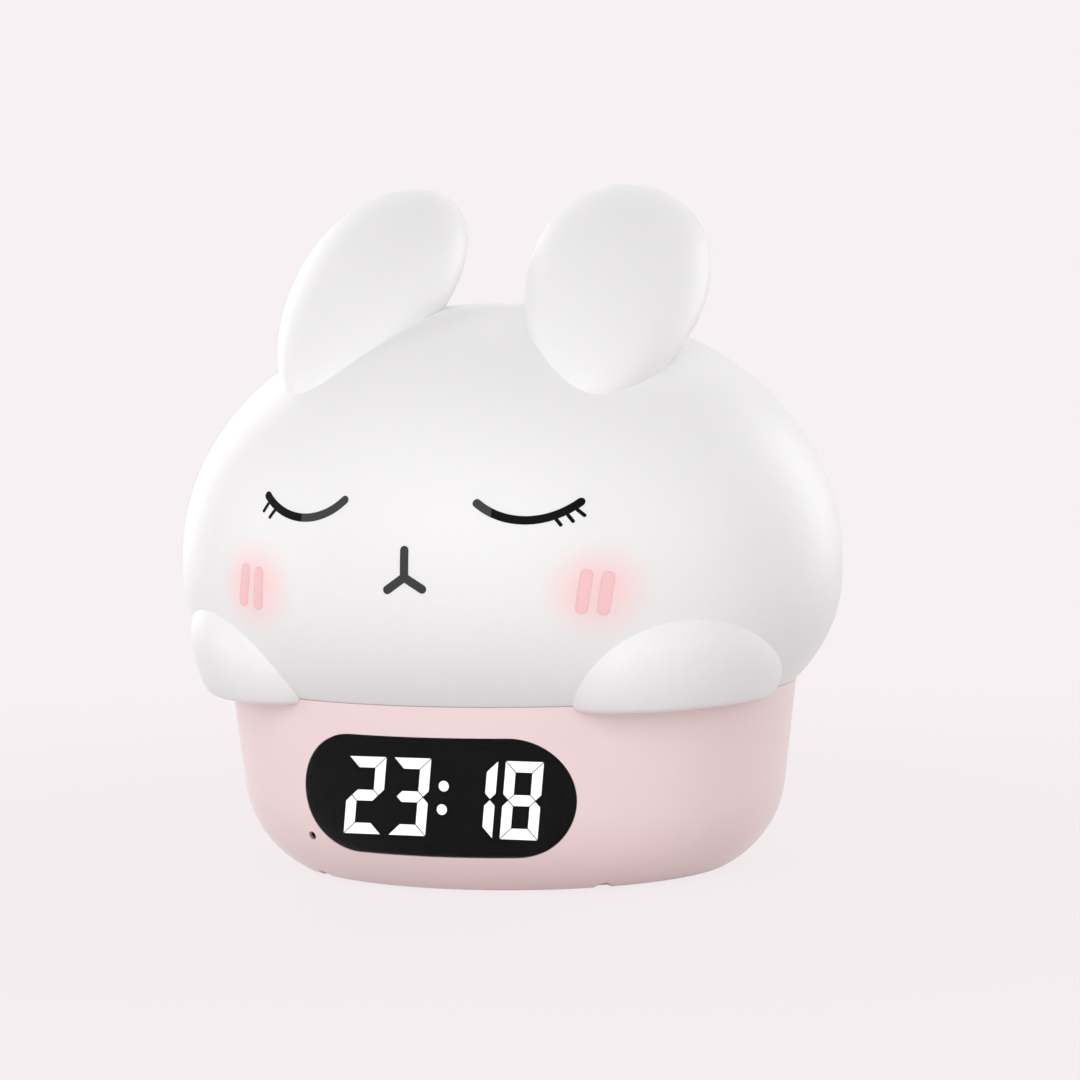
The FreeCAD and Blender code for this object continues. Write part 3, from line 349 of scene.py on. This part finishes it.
class CLOCK_OT_soft_head(bpy.types.Operator):
    """Model the head, its ears and its paws as one soft moulding"""
    bl_idname = "clock.soft_head"
    bl_label = "Soft head"

    def execute(self, context):
        sizes = context.scene.clock_sizes
        head = lathe("head", head_outline(sizes), 256)
        head.scale.y = OVAL
        settle(head)
        ear = round_lobe("ear", EAR_HALVES, EAR_TIP_GROWTH, EAR_TURNS, EAR_CENTRE)
        paw = round_lobe("paw", PAW_HALVES, 0.0, PAW_TURNS, PAW_CENTRE)
        level_underside(paw, SEAM - PAW_HANG)
        finish_modifier(paw, "REMESH", mode="VOXEL", voxel_size=PAW_GRAIN)
        finish_modifier(paw, "SMOOTH", factor=0.5, iterations=PAW_SOFTENING)
        for lobe in (ear, mirrored(ear, "ear_left"), paw, mirrored(paw, "paw_left")):
            finish_modifier(head, "BOOLEAN", operation="UNION", object=lobe, solver="EXACT")
            bpy.data.objects.remove(lobe)
        cut_to_base(head)
        head.name = "soft_head"
        pick(head)
        bpy.ops.object.shade_smooth_by_angle(angle=sizes.crease)
        keep(head, silicone_finish(context.scene))
        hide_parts("silicone_cover")
        return {"FINISHED"}


# The printed face

CAP_STEPS = 5
LEAST_REACH = 0.002 * MM


def ribbon(name, centres, width, sizes, lift=0.0):
    """A flat printed line with round ends, laid on the head: its centres are X and Z places."""
    half = width / 2
    stations = []
    first = (centres[0] - centres[1]).normalized()
    last = (centres[-1] - centres[-2]).normalized()
    for i in range(CAP_STEPS, 0, -1):
        t = math.pi / 2 * i / CAP_STEPS
        stations.append((centres[0] + first * half * math.sin(t), half * math.cos(t), -first))
    for i, p in enumerate(centres):
        before = centres[max(i - 1, 0)]
        after = centres[min(i + 1, len(centres) - 1)]
        stations.append((p, half, (after - before).normalized()))
    for i in range(1, CAP_STEPS + 1):
        t = math.pi / 2 * i / CAP_STEPS
        stations.append((centres[-1] + last * half * math.sin(t), half * math.cos(t), last))
    mesh = bpy.data.meshes.new(name)
    form = bpy.data.objects.new(name, mesh)
    bpy.context.scene.collection.objects.link(form)
    points, faces = [], []
    for place, reach, heading in stations:
        side = Vector((-heading.y, heading.x)) * max(reach, LEAST_REACH)
        for p in (place + side, place, place - side):
            points.append((p.x, head_front(p.x, p.y, sizes) - sizes.ink - lift, p.y))
    for i in range(len(stations) - 1):
        a = 3 * i
        faces.append((a, a + 3, a + 4, a + 1))
        faces.append((a + 1, a + 4, a + 5, a + 2))
    mesh.from_pydata(points, [], faces)
    mesh.update()
    pick(form)
    bpy.ops.object.mode_set(mode="EDIT")
    bpy.ops.mesh.select_all(action="SELECT")
    bpy.ops.mesh.normals_make_consistent(inside=False)
    bpy.ops.object.mode_set(mode="OBJECT")
    if mesh.polygons[len(mesh.polygons) // 2].normal.y > 0:
        mesh.flip_normals()
    finish_modifier(form, "SOLIDIFY", thickness=2 * sizes.ink, offset=-1)
    return form


def arc_through(a, low, b, steps=28):
    """X and Z places along the round arc through three places, given in millimetres."""
    a, low, b = (Vector(p) * MM for p in (a, low, b))
    ab, ac = low - a, b - a
    cross = 2 * (ab.x * ac.y - ab.y * ac.x)
    centre = a + Vector((ac.y * ab.length_squared - ab.y * ac.length_squared,
                         ab.x * ac.length_squared - ac.x * ab.length_squared)) / cross
    start, end = (math.atan2(p.y - centre.y, p.x - centre.x) for p in (a, b))
    radius = (a - centre).length
    turn = (end - start + math.pi) % (2 * math.pi) - math.pi
    places = []
    for i in range(steps + 1):
        t = start + turn * i / steps
        places.append(centre + Vector((math.cos(t), math.sin(t))) * radius)
    return places


def straight(a, b, steps=4):
    """X and Z places along a straight line between two places in millimetres."""
    a, b = Vector(a) * MM, Vector(b) * MM
    return [a.lerp(b, i / steps) for i in range(steps + 1)]


# Places on the face, X and Z in millimetres
LEFT_EYE = ((-30.2, 74.7), (-21.2, 71.0), (-12.6, 74.4))
RIGHT_EYE = ((12.9, 74.0), (21.5, 70.9), (30.6, 74.0))
LEFT_LASHES = (((-30.0, 73.2), (-30.9, 71.9)), ((-28.2, 72.1), (-29.3, 70.8)))
RIGHT_LASHES = (((26.8, 71.0), (27.6, 70.0)), ((28.7, 71.7), (29.6, 70.6)), ((30.2, 72.6), (31.4, 71.6)))
MOUTH_TOP, MOUTH_MIDDLE = (0.0, 65.6), (0.0, 60.7)
MOUTH_ENDS = ((-3.3, 58.4), (3.4, 58.6))
CHEEKS = ((-32.6, 58.2), (33.7, 58.2))
CHEEK_BARS = (((-34.9, 61.0), (-35.7, 55.1)), ((-31.5, 60.6), (-32.0, 54.6)),
              ((32.1, 61.0), (31.2, 55.0)), ((35.6, 60.5), (34.7, 54.6)))
BAR_WIDTH = 1.7
# Width of the painted shade line round each bar, in millimetres
BAR_SHADE_RIM = 0.5
BAR_LIFT = 0.02
BLUSH_WIDTH, BLUSH_HEIGHT = 9.6, 9.4
# Where the eyes' painted highlight begins and ends, X in millimetres: the inner part of each eye is
# coloured grey
LEFT_EYE_HIGHLIGHT_FROM = -21.7
RIGHT_EYE_HIGHLIGHT_TO = 15.6


class CLOCK_OT_printed_face(bpy.types.Operator):
    """Print the closed eyes, the lashes, the mouth and the cheek bars on the head"""
    bl_idname = "clock.printed_face"
    bl_label = "Printed face"

    def execute(self, context):
        sizes = context.scene.clock_sizes
        ink = ink_finish(context.scene)
        grey = plain_print_finish("grey_ink", context.scene.clock_colours.grey_print_and_eye_highlight)
        for side, eye, lashes in (("left", LEFT_EYE, LEFT_LASHES), ("right", RIGHT_EYE, RIGHT_LASHES)):
            lines = [ribbon("eye", arc_through(*eye), sizes.eye_width, sizes)]
            for i, lash in enumerate(lashes):
                lines.append(ribbon("lash", straight(*lash), sizes.lash_width, sizes))
            keep(joined(lines, "eye_" + side), ink)
        lines = [ribbon("mouth", straight(MOUTH_TOP, MOUTH_MIDDLE), sizes.mouth_width, sizes)]
        for end in MOUTH_ENDS:
            lines.append(ribbon("mouth", straight(MOUTH_MIDDLE, end), sizes.mouth_width, sizes))
        keep(joined(lines, "mouth"), grey)
        # Each cheek bar lies on a wider ribbon of painted shade, which shows as a darker line round it
        edge = tuple(context.scene.clock_colours.cheek_bar_shade)
        fill = tuple(context.scene.clock_colours.cheek_bar)
        for name, width, lift, color in (("cheek_bar_shade_lines", BAR_WIDTH + BAR_SHADE_RIM, 0.0, edge),
                                         ("cheek_bars", BAR_WIDTH, BAR_LIFT, fill)):
            bars = []
            for bar in CHEEK_BARS:
                bars.append(ribbon("bar", straight(*bar, steps=8), width * MM, sizes, lift * MM))
            keep(joined(bars, name), plain_print_finish(name + "_ink", color))
        return {"FINISHED"}


# Materials

class Signal:
    """A number in a material, which Python's own signs combine."""

    def __init__(self, graph, socket):
        self.graph = graph
        self.socket = socket

    def _math(self, operation, a, b):
        return self.graph.add("ShaderNodeMath", {"operation": operation}, {0: a, 1: b})

    def __add__(self, other):
        return self._math("ADD", self, other)

    def __sub__(self, other):
        return self._math("SUBTRACT", self, other)

    def __rsub__(self, other):
        return self._math("SUBTRACT", other, self)

    def __mul__(self, other):
        return self._math("MULTIPLY", self, other)

    def __truediv__(self, other):
        return self._math("DIVIDE", self, other)

    def __pow__(self, other):
        return self._math("POWER", self, other)

    def __gt__(self, other):
        return self._math("GREATER_THAN", self, other)

    def clipped(self):
        """The number held between 0 and 1."""
        return self.graph.add("ShaderNodeClamp", {}, {"Value": self}, "Result")

    def spread(self, low, high, to_low=0.0, to_high=1.0):
        """The number taken smoothly from one range to another."""
        return self.graph.add("ShaderNodeMapRange", {"interpolation_type": "SMOOTHSTEP"},
                              {"Value": self, "From Min": low, "From Max": high,
                               "To Min": to_low, "To Max": to_high}, "Result")


class Graph:
    """The nodes of one material, or of the world."""

    def __init__(self, tree):
        self.tree = tree

    def add(self, kind, settings, values, output=0):
        """Make one node with its settings and its sockets' values or links."""
        node = self.tree.nodes.new(kind)
        for name, value in settings.items():
            setattr(node, name, value)
        for name, value in values.items():
            socket = node.inputs[name]
            if isinstance(value, Signal):
                self.tree.links.new(value.socket, socket)
            elif socket.type == "RGBA":
                socket.default_value = (*value, 1.0)
            else:
                socket.default_value = value
        return Signal(self, node.outputs[output])

    def backdrop_rays(self):
        """One for the rays that see the backdrop: the camera's, reflected and passed ones."""
        kinds = ("Is Camera Ray", "Is Glossy Ray", "Is Transmission Ray")
        camera, glossy, passed = [self.add("ShaderNodeLightPath", {}, {}, kind) for kind in kinds]
        return (camera + glossy + passed).clipped()

    def show(self, shader, output):
        """Send a finished shader to the graph's output."""
        self.tree.links.new(shader.socket, self.tree.nodes[output].inputs["Surface"])


class Finish(Graph):
    """One material: its nodes, and the surface that they colour."""

    def __init__(self, name, color, roughness=0.5, metallic=0.0, specular=0.5):
        self.material = bpy.data.materials.new(name)
        self.material.use_nodes = True
        super().__init__(self.material.node_tree)
        self.surface = self.tree.nodes["Principled BSDF"]
        self.surface.inputs["Base Color"].default_value = (*color, 1.0)
        self.surface.inputs["Roughness"].default_value = roughness
        self.surface.inputs["Metallic"].default_value = metallic
        self.surface.inputs["Specular IOR Level"].default_value = specular

    def place(self):
        """The place on the piece, in metres."""
        return self.add("ShaderNodeTexCoord", {}, {}, "Object")

    def axes(self):
        """The place's three numbers."""
        split = self.add("ShaderNodeSeparateXYZ", {}, {"Vector": self.place()}).socket.node
        return [Signal(self, output) for output in split.outputs]

    def noise(self, scale, detail=3.0, roughness=0.5, stretch=None):
        """Soft cloudy values from 0 to 1; scale counts clouds in a metre."""
        place = self.place()
        if stretch:
            place = self.add("ShaderNodeMapping", {}, {"Vector": place, "Scale": stretch})
        return self.add("ShaderNodeTexNoise", {}, {"Vector": place, "Scale": scale, "Detail": detail,
                                                   "Roughness": roughness})

    def mix(self, factor, a, b):
        """A colour between two colours."""
        return self.add("ShaderNodeMix", {"data_type": "RGBA"}, {0: factor, 6: a, 7: b}, 2)

    def set(self, name, signal):
        """Link one socket of the surface."""
        self.tree.links.new(signal.socket, self.surface.inputs[name])

    def fix(self, **values):
        """Set sockets of the surface that are the same all over."""
        for name, value in values.items():
            self.surface.inputs[name.replace("_", " ")].default_value = value

    def bump(self, height, distance, strength):
        """Raise the surface by a height from 0 to 1 times a distance."""
        values = {"Height": height, "Distance": distance, "Strength": strength}
        self.set("Normal", self.add("ShaderNodeBump", {}, values, "Normal"))


def varied(color, share):
    """The same colour made darker by a share, or lighter by a share below zero."""
    return tuple(c * (1 - share) for c in color)


def moulded_finish(name, color, roughness=0.42, grain=0.06 * MM, patch=0.03, sheen=0.0, shade_above=None):
    """Moulded plastic: faint patches, a fine sparked grain and, above a height, a darker band of painted
    shade for the shadow in the seam.
    """
    finish = Finish(name, color, roughness)
    cloud = finish.noise(45.0, 2.0)
    shown = finish.mix(cloud, varied(color, patch), color)
    if shade_above is not None:
        # Painted shade: the colour is darkened above a height, standing in for the shadow in the seam
        shown = finish.mix(finish.axes()[2] > shade_above, shown, varied(color, 0.5))
    finish.set("Base Color", shown)
    finish.fix(Sheen_Weight=sheen, Sheen_Roughness=0.3)
    speckle = finish.noise(2600.0, 2.0, 0.6)
    finish.set("Roughness", speckle.spread(0.3, 0.7, roughness - 0.05, roughness + 0.07))
    finish.bump(speckle, grain, 0.25)
    return finish.material


def silicone_finish(scene):
    """Soft white silicone with the cheeks' blush printed into it."""
    colours = scene.clock_colours
    base = tuple(colours.silicone)
    finish = Finish("soft_silicone", base, 0.48)
    x, y, z = finish.axes()
    cloud = finish.noise(38.0, 2.0)
    color = finish.mix(cloud, varied(base, 0.012), base)
    front = (y * -1.0).spread(10 * MM, 22 * MM)
    for cheek_x, cheek_z in CHEEKS:
        dx = (x - cheek_x * MM) / (BLUSH_WIDTH * MM)
        dz = (z - cheek_z * MM) / (BLUSH_HEIGHT * MM)
        distance = (dx * dx + dz * dz) ** 0.5
        glow = distance.spread(1.12, 0.12) * front
        color = finish.mix(glow * 0.92, color, tuple(colours.blush))
    finish.set("Base Color", color)
    speckle = finish.noise(1900.0, 3.0, 0.6)
    finish.set("Roughness", speckle.spread(0.3, 0.7, 0.44, 0.54))
    finish.bump(speckle, 0.05 * MM, 0.2)
    finish.fix(Subsurface_Weight=0.12, Subsurface_Scale=0.004, Sheen_Weight=0.35, Sheen_Roughness=0.35)
    return finish.material


def ink_finish(scene):
    """Black ink whose inner part, towards the nose, is coloured grey as a painted highlight."""
    colours = scene.clock_colours
    finish = Finish("eye_ink", tuple(colours.ink_black), 0.6, specular=0.06)
    x = finish.axes()[0]
    # Painted highlight: the inner part of each eye, towards the nose, is coloured grey
    left = (x > LEFT_EYE_HIGHLIGHT_FROM * MM) * (1 - (x > 0.0))
    right = (x > 0.0) * (1 - (x > RIGHT_EYE_HIGHLIGHT_TO * MM))
    finish.set("Base Color", finish.mix(left + right, tuple(colours.ink_black), tuple(colours.grey_print_and_eye_highlight)))
    grain = finish.noise(3000.0, 2.0)
    finish.set("Roughness", grain.spread(0.3, 0.7, 0.5, 0.6))
    return finish.material


def plain_print_finish(name, color):
    """A flat printed colour with a faint tooth."""
    finish = Finish(name, tuple(color), 0.6, specular=0.06)
    tooth = finish.noise(3000.0, 2.0)
    finish.set("Base Color", finish.mix(tooth, varied(tuple(color), 0.05), tuple(color)))
    finish.set("Roughness", tooth.spread(0.3, 0.7, 0.5, 0.6))
    return finish.material


def window_finish():
    """Smoked clear plastic that lets the lit digits through."""
    finish = Finish("smoked_window", (0.006, 0.006, 0.006), 0.2, specular=0.12)
    smear = finish.noise(60.0, 3.0)
    finish.set("Roughness", smear.spread(0.3, 0.7, 0.13, 0.2))
    finish.fix(Alpha=0.72)
    finish.material.surface_render_method = "BLENDED"
    return finish.material


def digit_finish(name, lit):
    """The milky face of a light block, lit or dark."""
    color = (0.9, 0.92, 0.95) if lit else (0.012, 0.012, 0.013)
    finish = Finish(name, color, 0.4)
    even = finish.noise(500.0, 2.0)
    finish.set("Base Color", finish.mix(even, varied(color, 0.03), color))
    if lit:
        finish.set("Emission Color", finish.mix(even, (0.94, 0.97, 1.0), (1.0, 1.0, 1.0)))
        finish.fix(Emission_Strength=16.0)
    return finish.material


def metal_finish(name, color, roughness, stretch=(1.0, 1.0, 14.0)):
    """Plated metal with fine drawn lines."""
    finish = Finish(name, color, roughness, metallic=1.0)
    lines = finish.noise(700.0, 4.0, 0.6, stretch)
    finish.set("Roughness", lines.spread(0.25, 0.75, roughness - 0.08, roughness + 0.12))
    finish.set("Base Color", finish.mix(lines, varied(color, 0.12), color))
    finish.bump(lines, 0.01 * MM, 0.3)
    return finish.material


def board_finish(name, color, track):
    """A circuit board: solder mask with faint copper tracks under it."""
    finish = Finish(name, color, 0.35)
    cells = finish.add("ShaderNodeTexVoronoi", {"distance": "MANHATTAN", "feature": "F1"},
                       {"Vector": finish.place(), "Scale": 420.0}, "Distance")
    tracks = cells.spread(0.42, 0.5)
    finish.set("Base Color", finish.mix(tracks, color, track))
    finish.bump(tracks, 0.03 * MM, 0.5)
    finish.set("Roughness", finish.noise(300.0).spread(0.3, 0.7, 0.3, 0.42))
    return finish.material


def wire_finish(name, axis, middle):
    """A pair of insulated wires, one red and one black, told apart by their place."""
    finish = Finish(name, (0.4, 0.02, 0.02), 0.38)
    side = finish.axes()[axis] > middle
    finish.set("Base Color", finish.mix(side, (0.42, 0.015, 0.015), (0.012, 0.012, 0.012)))
    finish.set("Roughness", finish.noise(900.0).spread(0.3, 0.7, 0.33, 0.45))
    return finish.material


def film_finish(name, color, line, axis_stretch):
    """A flat ribbon with its fine conductors showing as lines."""
    finish = Finish(name, color, 0.4)
    wave = finish.add("ShaderNodeTexWave", {"wave_type": "BANDS", "bands_direction": "X"},
                      {"Vector": finish.place(), "Scale": axis_stretch})
    finish.set("Base Color", finish.mix(wave, color, line))
    finish.bump(wave, 0.03 * MM, 0.4)
    return finish.material


def pitted_finish(name, color, scale, depth, roughness=0.8):
    """Foam, rubber or pressed paper: dull, with small pits."""
    finish = Finish(name, color, roughness)
    pits = finish.add("ShaderNodeTexVoronoi", {"feature": "SMOOTH_F1"},
                      {"Vector": finish.place(), "Scale": scale}, "Distance")
    finish.set("Base Color", finish.mix(pits, varied(color, 0.25), color))
    finish.bump(pits, depth, 0.5)
    finish.set("Roughness", finish.noise(scale / 2).spread(0.3, 0.7, roughness - 0.07, roughness + 0.08))
    return finish.material


def diffuser_finish():
    """Milky frosted plastic over the lamps."""
    finish = Finish("milky_diffuser", (0.86, 0.85, 0.82), 0.6)
    haze = finish.noise(70.0, 2.0)
    finish.set("Base Color", finish.mix(haze, (0.82, 0.81, 0.78), (0.87, 0.86, 0.83)))
    finish.bump(finish.noise(1500.0), 0.05 * MM, 0.3)
    finish.fix(Subsurface_Weight=0.2, Subsurface_Scale=0.003)
    return finish.material


def pouch_finish():
    """The battery's silver pouch with its soft creases."""
    finish = Finish("battery_pouch", (0.62, 0.64, 0.68), 0.38, metallic=0.6)
    creases = finish.noise(120.0, 5.0, 0.65)
    finish.set("Base Color", finish.mix(creases, (0.5, 0.52, 0.56), (0.66, 0.68, 0.72)))
    finish.set("Roughness", creases.spread(0.3, 0.7, 0.3, 0.5))
    finish.bump(creases, 0.25 * MM, 0.6)
    return finish.material


def lamp_finish():
    """Small lamps: yellow resin in the middle of each, by its top."""
    finish = Finish("lamp_resin", (0.85, 0.66, 0.18), 0.2)
    grain = finish.noise(900.0, 2.0)
    finish.set("Base Color", finish.mix(grain, (0.8, 0.6, 0.15), (0.9, 0.75, 0.28)))
    finish.set("Roughness", grain.spread(0.3, 0.7, 0.16, 0.28))
    return finish.material


def dress(names, material):
    """Give carried over pieces their finish."""
    for name in names:
        for slot in NODES[name].material_slots:
            slot.material = material


class CLOCK_OT_pink_base(bpy.types.Operator):
    """Finish the pink base, its keys, the underside and what shows of its fittings"""
    bl_idname = "clock.pink_base"
    bl_label = "Pink base"

    def execute(self, context):
        pink = tuple(context.scene.clock_colours.pink)
        # The base's top edge gets a band of painted shade under the seam
        dress(["base_housing", "bottom_plate"],
              moulded_finish("pink_plastic", pink, 0.4, sheen=0.45, shade_above=SEAM - SEAM_SHADE_BAND))
        dress(["key_" + key for key in KEYS], moulded_finish("key_plastic", varied(pink, -0.04), 0.36))
        dress(["foot_pads"], pitted_finish("foot_rubber", varied(pink, 0.15), 900.0, 0.05 * MM))
        dress(["base_screws", "display_board_screws", "key_board_screws", "main_board_screws",
               "clamp_ring_screws", "diffuser_screws", "lamp_board_screws", "speaker_frame"],
              metal_finish("zinc_plate", (0.55, 0.55, 0.54), 0.32))
        dress(["usb_socket_shell", "power_switch_body"],
              metal_finish("nickel_plate", (0.68, 0.67, 0.64), 0.24))
        dress(["power_switch_knob"] + ["plunger_" + key for key in KEYS],
              moulded_finish("black_plastic", (0.016, 0.016, 0.016), 0.45))
        return {"FINISHED"}


class CLOCK_OT_display(bpy.types.Operator):
    """Finish the window, the digits and the parts behind them"""
    bl_idname = "clock.display"
    bl_label = "Display"

    def execute(self, context):
        dress(["display_window"], window_finish())
        dress(["digit_segments_lit"], digit_finish("digits_lit", True))
        dress(["digit_segments_dark"], digit_finish("digits_dark", False))
        dress(["display_block"], moulded_finish("display_black", (0.006, 0.006, 0.006), 0.6))
        dress(["window_tape", "sensor_sleeve", "speaker_gasket", "battery_foam"],
              pitted_finish("black_foam", (0.012, 0.012, 0.012), 1600.0, 0.05 * MM))
        dress(["light_sensor"], moulded_finish("sensor_resin", (0.02, 0.015, 0.03), 0.2))
        return {"FINISHED"}


class CLOCK_OT_insides(bpy.types.Operator):
    """Finish the boards, the lamps, the speaker, the battery and the leads"""
    bl_idname = "clock.insides"
    bl_label = "Insides"

    def execute(self, context):
        dress(["main_board", "key_board", "display_board"],
              board_finish("green_board", (0.012, 0.09, 0.04), (0.03, 0.16, 0.07)))
        dress(["lamp_board"], board_finish("white_board", (0.8, 0.8, 0.78), (0.72, 0.72, 0.7)))
        dress(["top_deck", "clamp_ring"], moulded_finish("white_plastic", (0.78, 0.78, 0.77), 0.45))
        dress(["board_sockets", "lamp_socket"], moulded_finish("nylon", (0.82, 0.79, 0.7), 0.5))
        dress(["board_chips", "tact_switches", "usb_socket_core"],
              moulded_finish("chip_black", (0.014, 0.014, 0.015), 0.5))
        dress(["board_capacitors", "tap_sensor"], metal_finish("drawn_can", (0.7, 0.71, 0.73), 0.3))
        dress(["speaker_magnet"], metal_finish("magnet_plate", (0.4, 0.4, 0.41), 0.4))
        dress(["speaker_cone"], pitted_finish("cone_paper", (0.03, 0.03, 0.03), 2200.0, 0.06 * MM, 0.9))
        dress(["lamp_leds"], lamp_finish())
        dress(["diffuser_cup"], diffuser_finish())
        dress(["battery_cell"], pouch_finish())
        for name, axis in (("lamp_lead", 0), ("battery_lead", 1), ("speaker_lead", 1)):
            low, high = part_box(name)
            dress([name], wire_finish(name + "_wires", axis, (low[axis] + high[axis]) / 2))
        dress(["display_ribbon", "key_ribbon"],
              film_finish("ribbon_film", (0.78, 0.78, 0.76), (0.6, 0.6, 0.58), 320.0))
        return {"FINISHED"}


# The stage: places and sizes in metres, and the lamps' power in watts

AIM = (0, 0, 0.06)
# Each lamp's name, place, width, height and power
LAMPS = (
    ("key_light", (0.05, -1.0, 0.42), 0.9, 0.9, 6.0),
    ("side_light", (0.95, -0.35, 0.35), 0.7, 0.7, 1.8),
    ("left_light", (-0.9, -0.25, 0.22), 0.5, 0.5, 1.9),
    ("top_light", (-0.15, 0.75, 0.75), 0.9, 0.5, 1.4),
    ("rim_light_left", (-0.72, 0.6, 0.2), 0.25, 0.8, 2.6),
    ("rim_light_right", (0.50, 0.76, 0.2), 0.25, 0.8, 3.4),
)
FLOOR_SIZE = 8.0
FLOOR_DULLING = 0.25
SHADOW_NEAR, SHADOW_FAR = 0.08, 0.34
NEAR_SHARE = 0.9
ROOM_LIGHT = 0.4
FRAME_WIDTH = 36.0
NEAREST_SEEN = 0.01


def lay_floor(backdrop):
    """A wide floor in the backdrop's colour, which takes the clock's shadow near it."""
    bpy.ops.object.select_all(action="DESELECT")
    bpy.ops.mesh.primitive_plane_add(size=FLOOR_SIZE, location=(0, 0, 0))
    floor = bpy.context.active_object
    floor.name = "floor"
    dull = varied(backdrop, FLOOR_DULLING)
    finish = Finish("pale_floor", dull, 0.9, specular=0.0)
    tone = finish.noise(3.0, 1.0)
    finish.set("Base Color", finish.mix(tone, varied(dull, 0.004), dull))
    x, y, _ = finish.axes()
    far = ((x * x + y * y) ** 0.5).spread(SHADOW_NEAR, SHADOW_FAR, NEAR_SHARE, 1.0)
    lit = Signal(finish, finish.surface.outputs[0])
    plain = finish.add("ShaderNodeEmission", {}, {"Color": backdrop})
    finish.show(finish.add("ShaderNodeMixShader", {}, {0: finish.backdrop_rays() * far, 1: lit, 2: plain}),
                "Material Output")
    floor.data.materials.append(finish.material)


def light_room(scene, backdrop):
    """Even light from all sides, behind which the backdrop's colour is seen."""
    world = bpy.data.worlds.new("studio")
    world.use_nodes = True
    scene.world = world
    room = Graph(world.node_tree)
    light = room.add("ShaderNodeBackground", {}, {"Color": (1.0, 0.99, 0.99), "Strength": ROOM_LIGHT})
    plain = room.add("ShaderNodeBackground", {}, {"Color": backdrop, "Strength": 1.0})
    room.show(room.add("ShaderNodeMixShader", {}, {0: room.backdrop_rays(), 1: light, 2: plain}),
              "World Output")


def soft_light(name, place, width, height, power):
    """One large soft lamp that points at the clock."""
    bpy.ops.object.light_add(type="AREA", location=place)
    lamp = bpy.context.active_object
    lamp.name = name
    lamp.data.shape = "RECTANGLE"
    lamp.data.size = width
    lamp.data.size_y = height
    lamp.data.energy = power
    lamp.rotation_euler = (Vector(AIM) - Vector(place)).to_track_quat("-Z", "Y").to_euler()



class CLOCK_OT_stage(bpy.types.Operator):
    """Put up the floor, the lamps and the camera"""
    bl_idname = "clock.stage"
    bl_label = "Stage"

    def execute(self, context):
        stage = context.scene.clock_stage
        backdrop = tuple(stage.backdrop)
        lay_floor(backdrop)
        light_room(context.scene, backdrop)
        for name, place, width, height, power in LAMPS:
            soft_light(name, place, width, height, power)

        bpy.ops.object.camera_add(location=tuple(stage.camera_place))
        camera = context.active_object
        camera.name = "photo_camera"
        heading = Matrix.Rotation(stage.yaw, 3, "Z") @ Matrix.Rotation(math.pi / 2 - stage.pitch, 3, "X")
        camera.rotation_euler = (heading @ Matrix.Rotation(stage.roll, 3, "Z")).to_euler()
        camera.data.lens = stage.lens
        camera.data.sensor_width = FRAME_WIDTH
        camera.data.clip_start = NEAREST_SEEN
        context.scene.camera = camera
        context.scene.view_settings.view_transform = "Standard"
        return {"FINISHED"}


class CLOCK_PT_panel(bpy.types.Panel):
    """The clock's steps, in order"""
    bl_label = "Bedside clock"
    bl_idname = "CLOCK_PT_panel"
    bl_space_type = "VIEW_3D"
    bl_region_type = "UI"
    bl_category = "Bedside clock"

    def draw(self, context):
        for step in STEPS:
            self.layout.operator(step.bl_idname)
        for name in ("half_width", "rise", "drop", "eye_width"):
            self.layout.prop(context.scene.clock_sizes, name)
        for name in ("silicone", "blush", "pink"):
            self.layout.prop(context.scene.clock_colours, name)


STEPS = (CLOCK_OT_soft_head, CLOCK_OT_printed_face, CLOCK_OT_pink_base, CLOCK_OT_display, CLOCK_OT_insides,
         CLOCK_OT_stage)
GROUPS = {"clock_sizes": ClockSizes, "clock_colours": ClockColours, "clock_stage": ClockStage}


def register():
    """Add the classes to Blender."""
    for group in (*GROUPS.values(), *STEPS, CLOCK_PT_panel):
        bpy.utils.register_class(group)
    for name, group in GROUPS.items():
        setattr(bpy.types.Scene, name, bpy.props.PointerProperty(type=group))


def unregister():
    """Take the classes out of Blender."""
    for name in GROUPS:
        delattr(bpy.types.Scene, name)
    for group in reversed((*GROUPS.values(), *STEPS, CLOCK_PT_panel)):
        bpy.utils.unregister_class(group)


def main():
    """Make the whole clock."""
    register()
    bpy.ops.clock.soft_head()
    bpy.ops.clock.printed_face()
    bpy.ops.clock.pink_base()
    bpy.ops.clock.display()
    bpy.ops.clock.insides()
    bpy.ops.clock.stage()


if __name__ == "__main__":
    main()
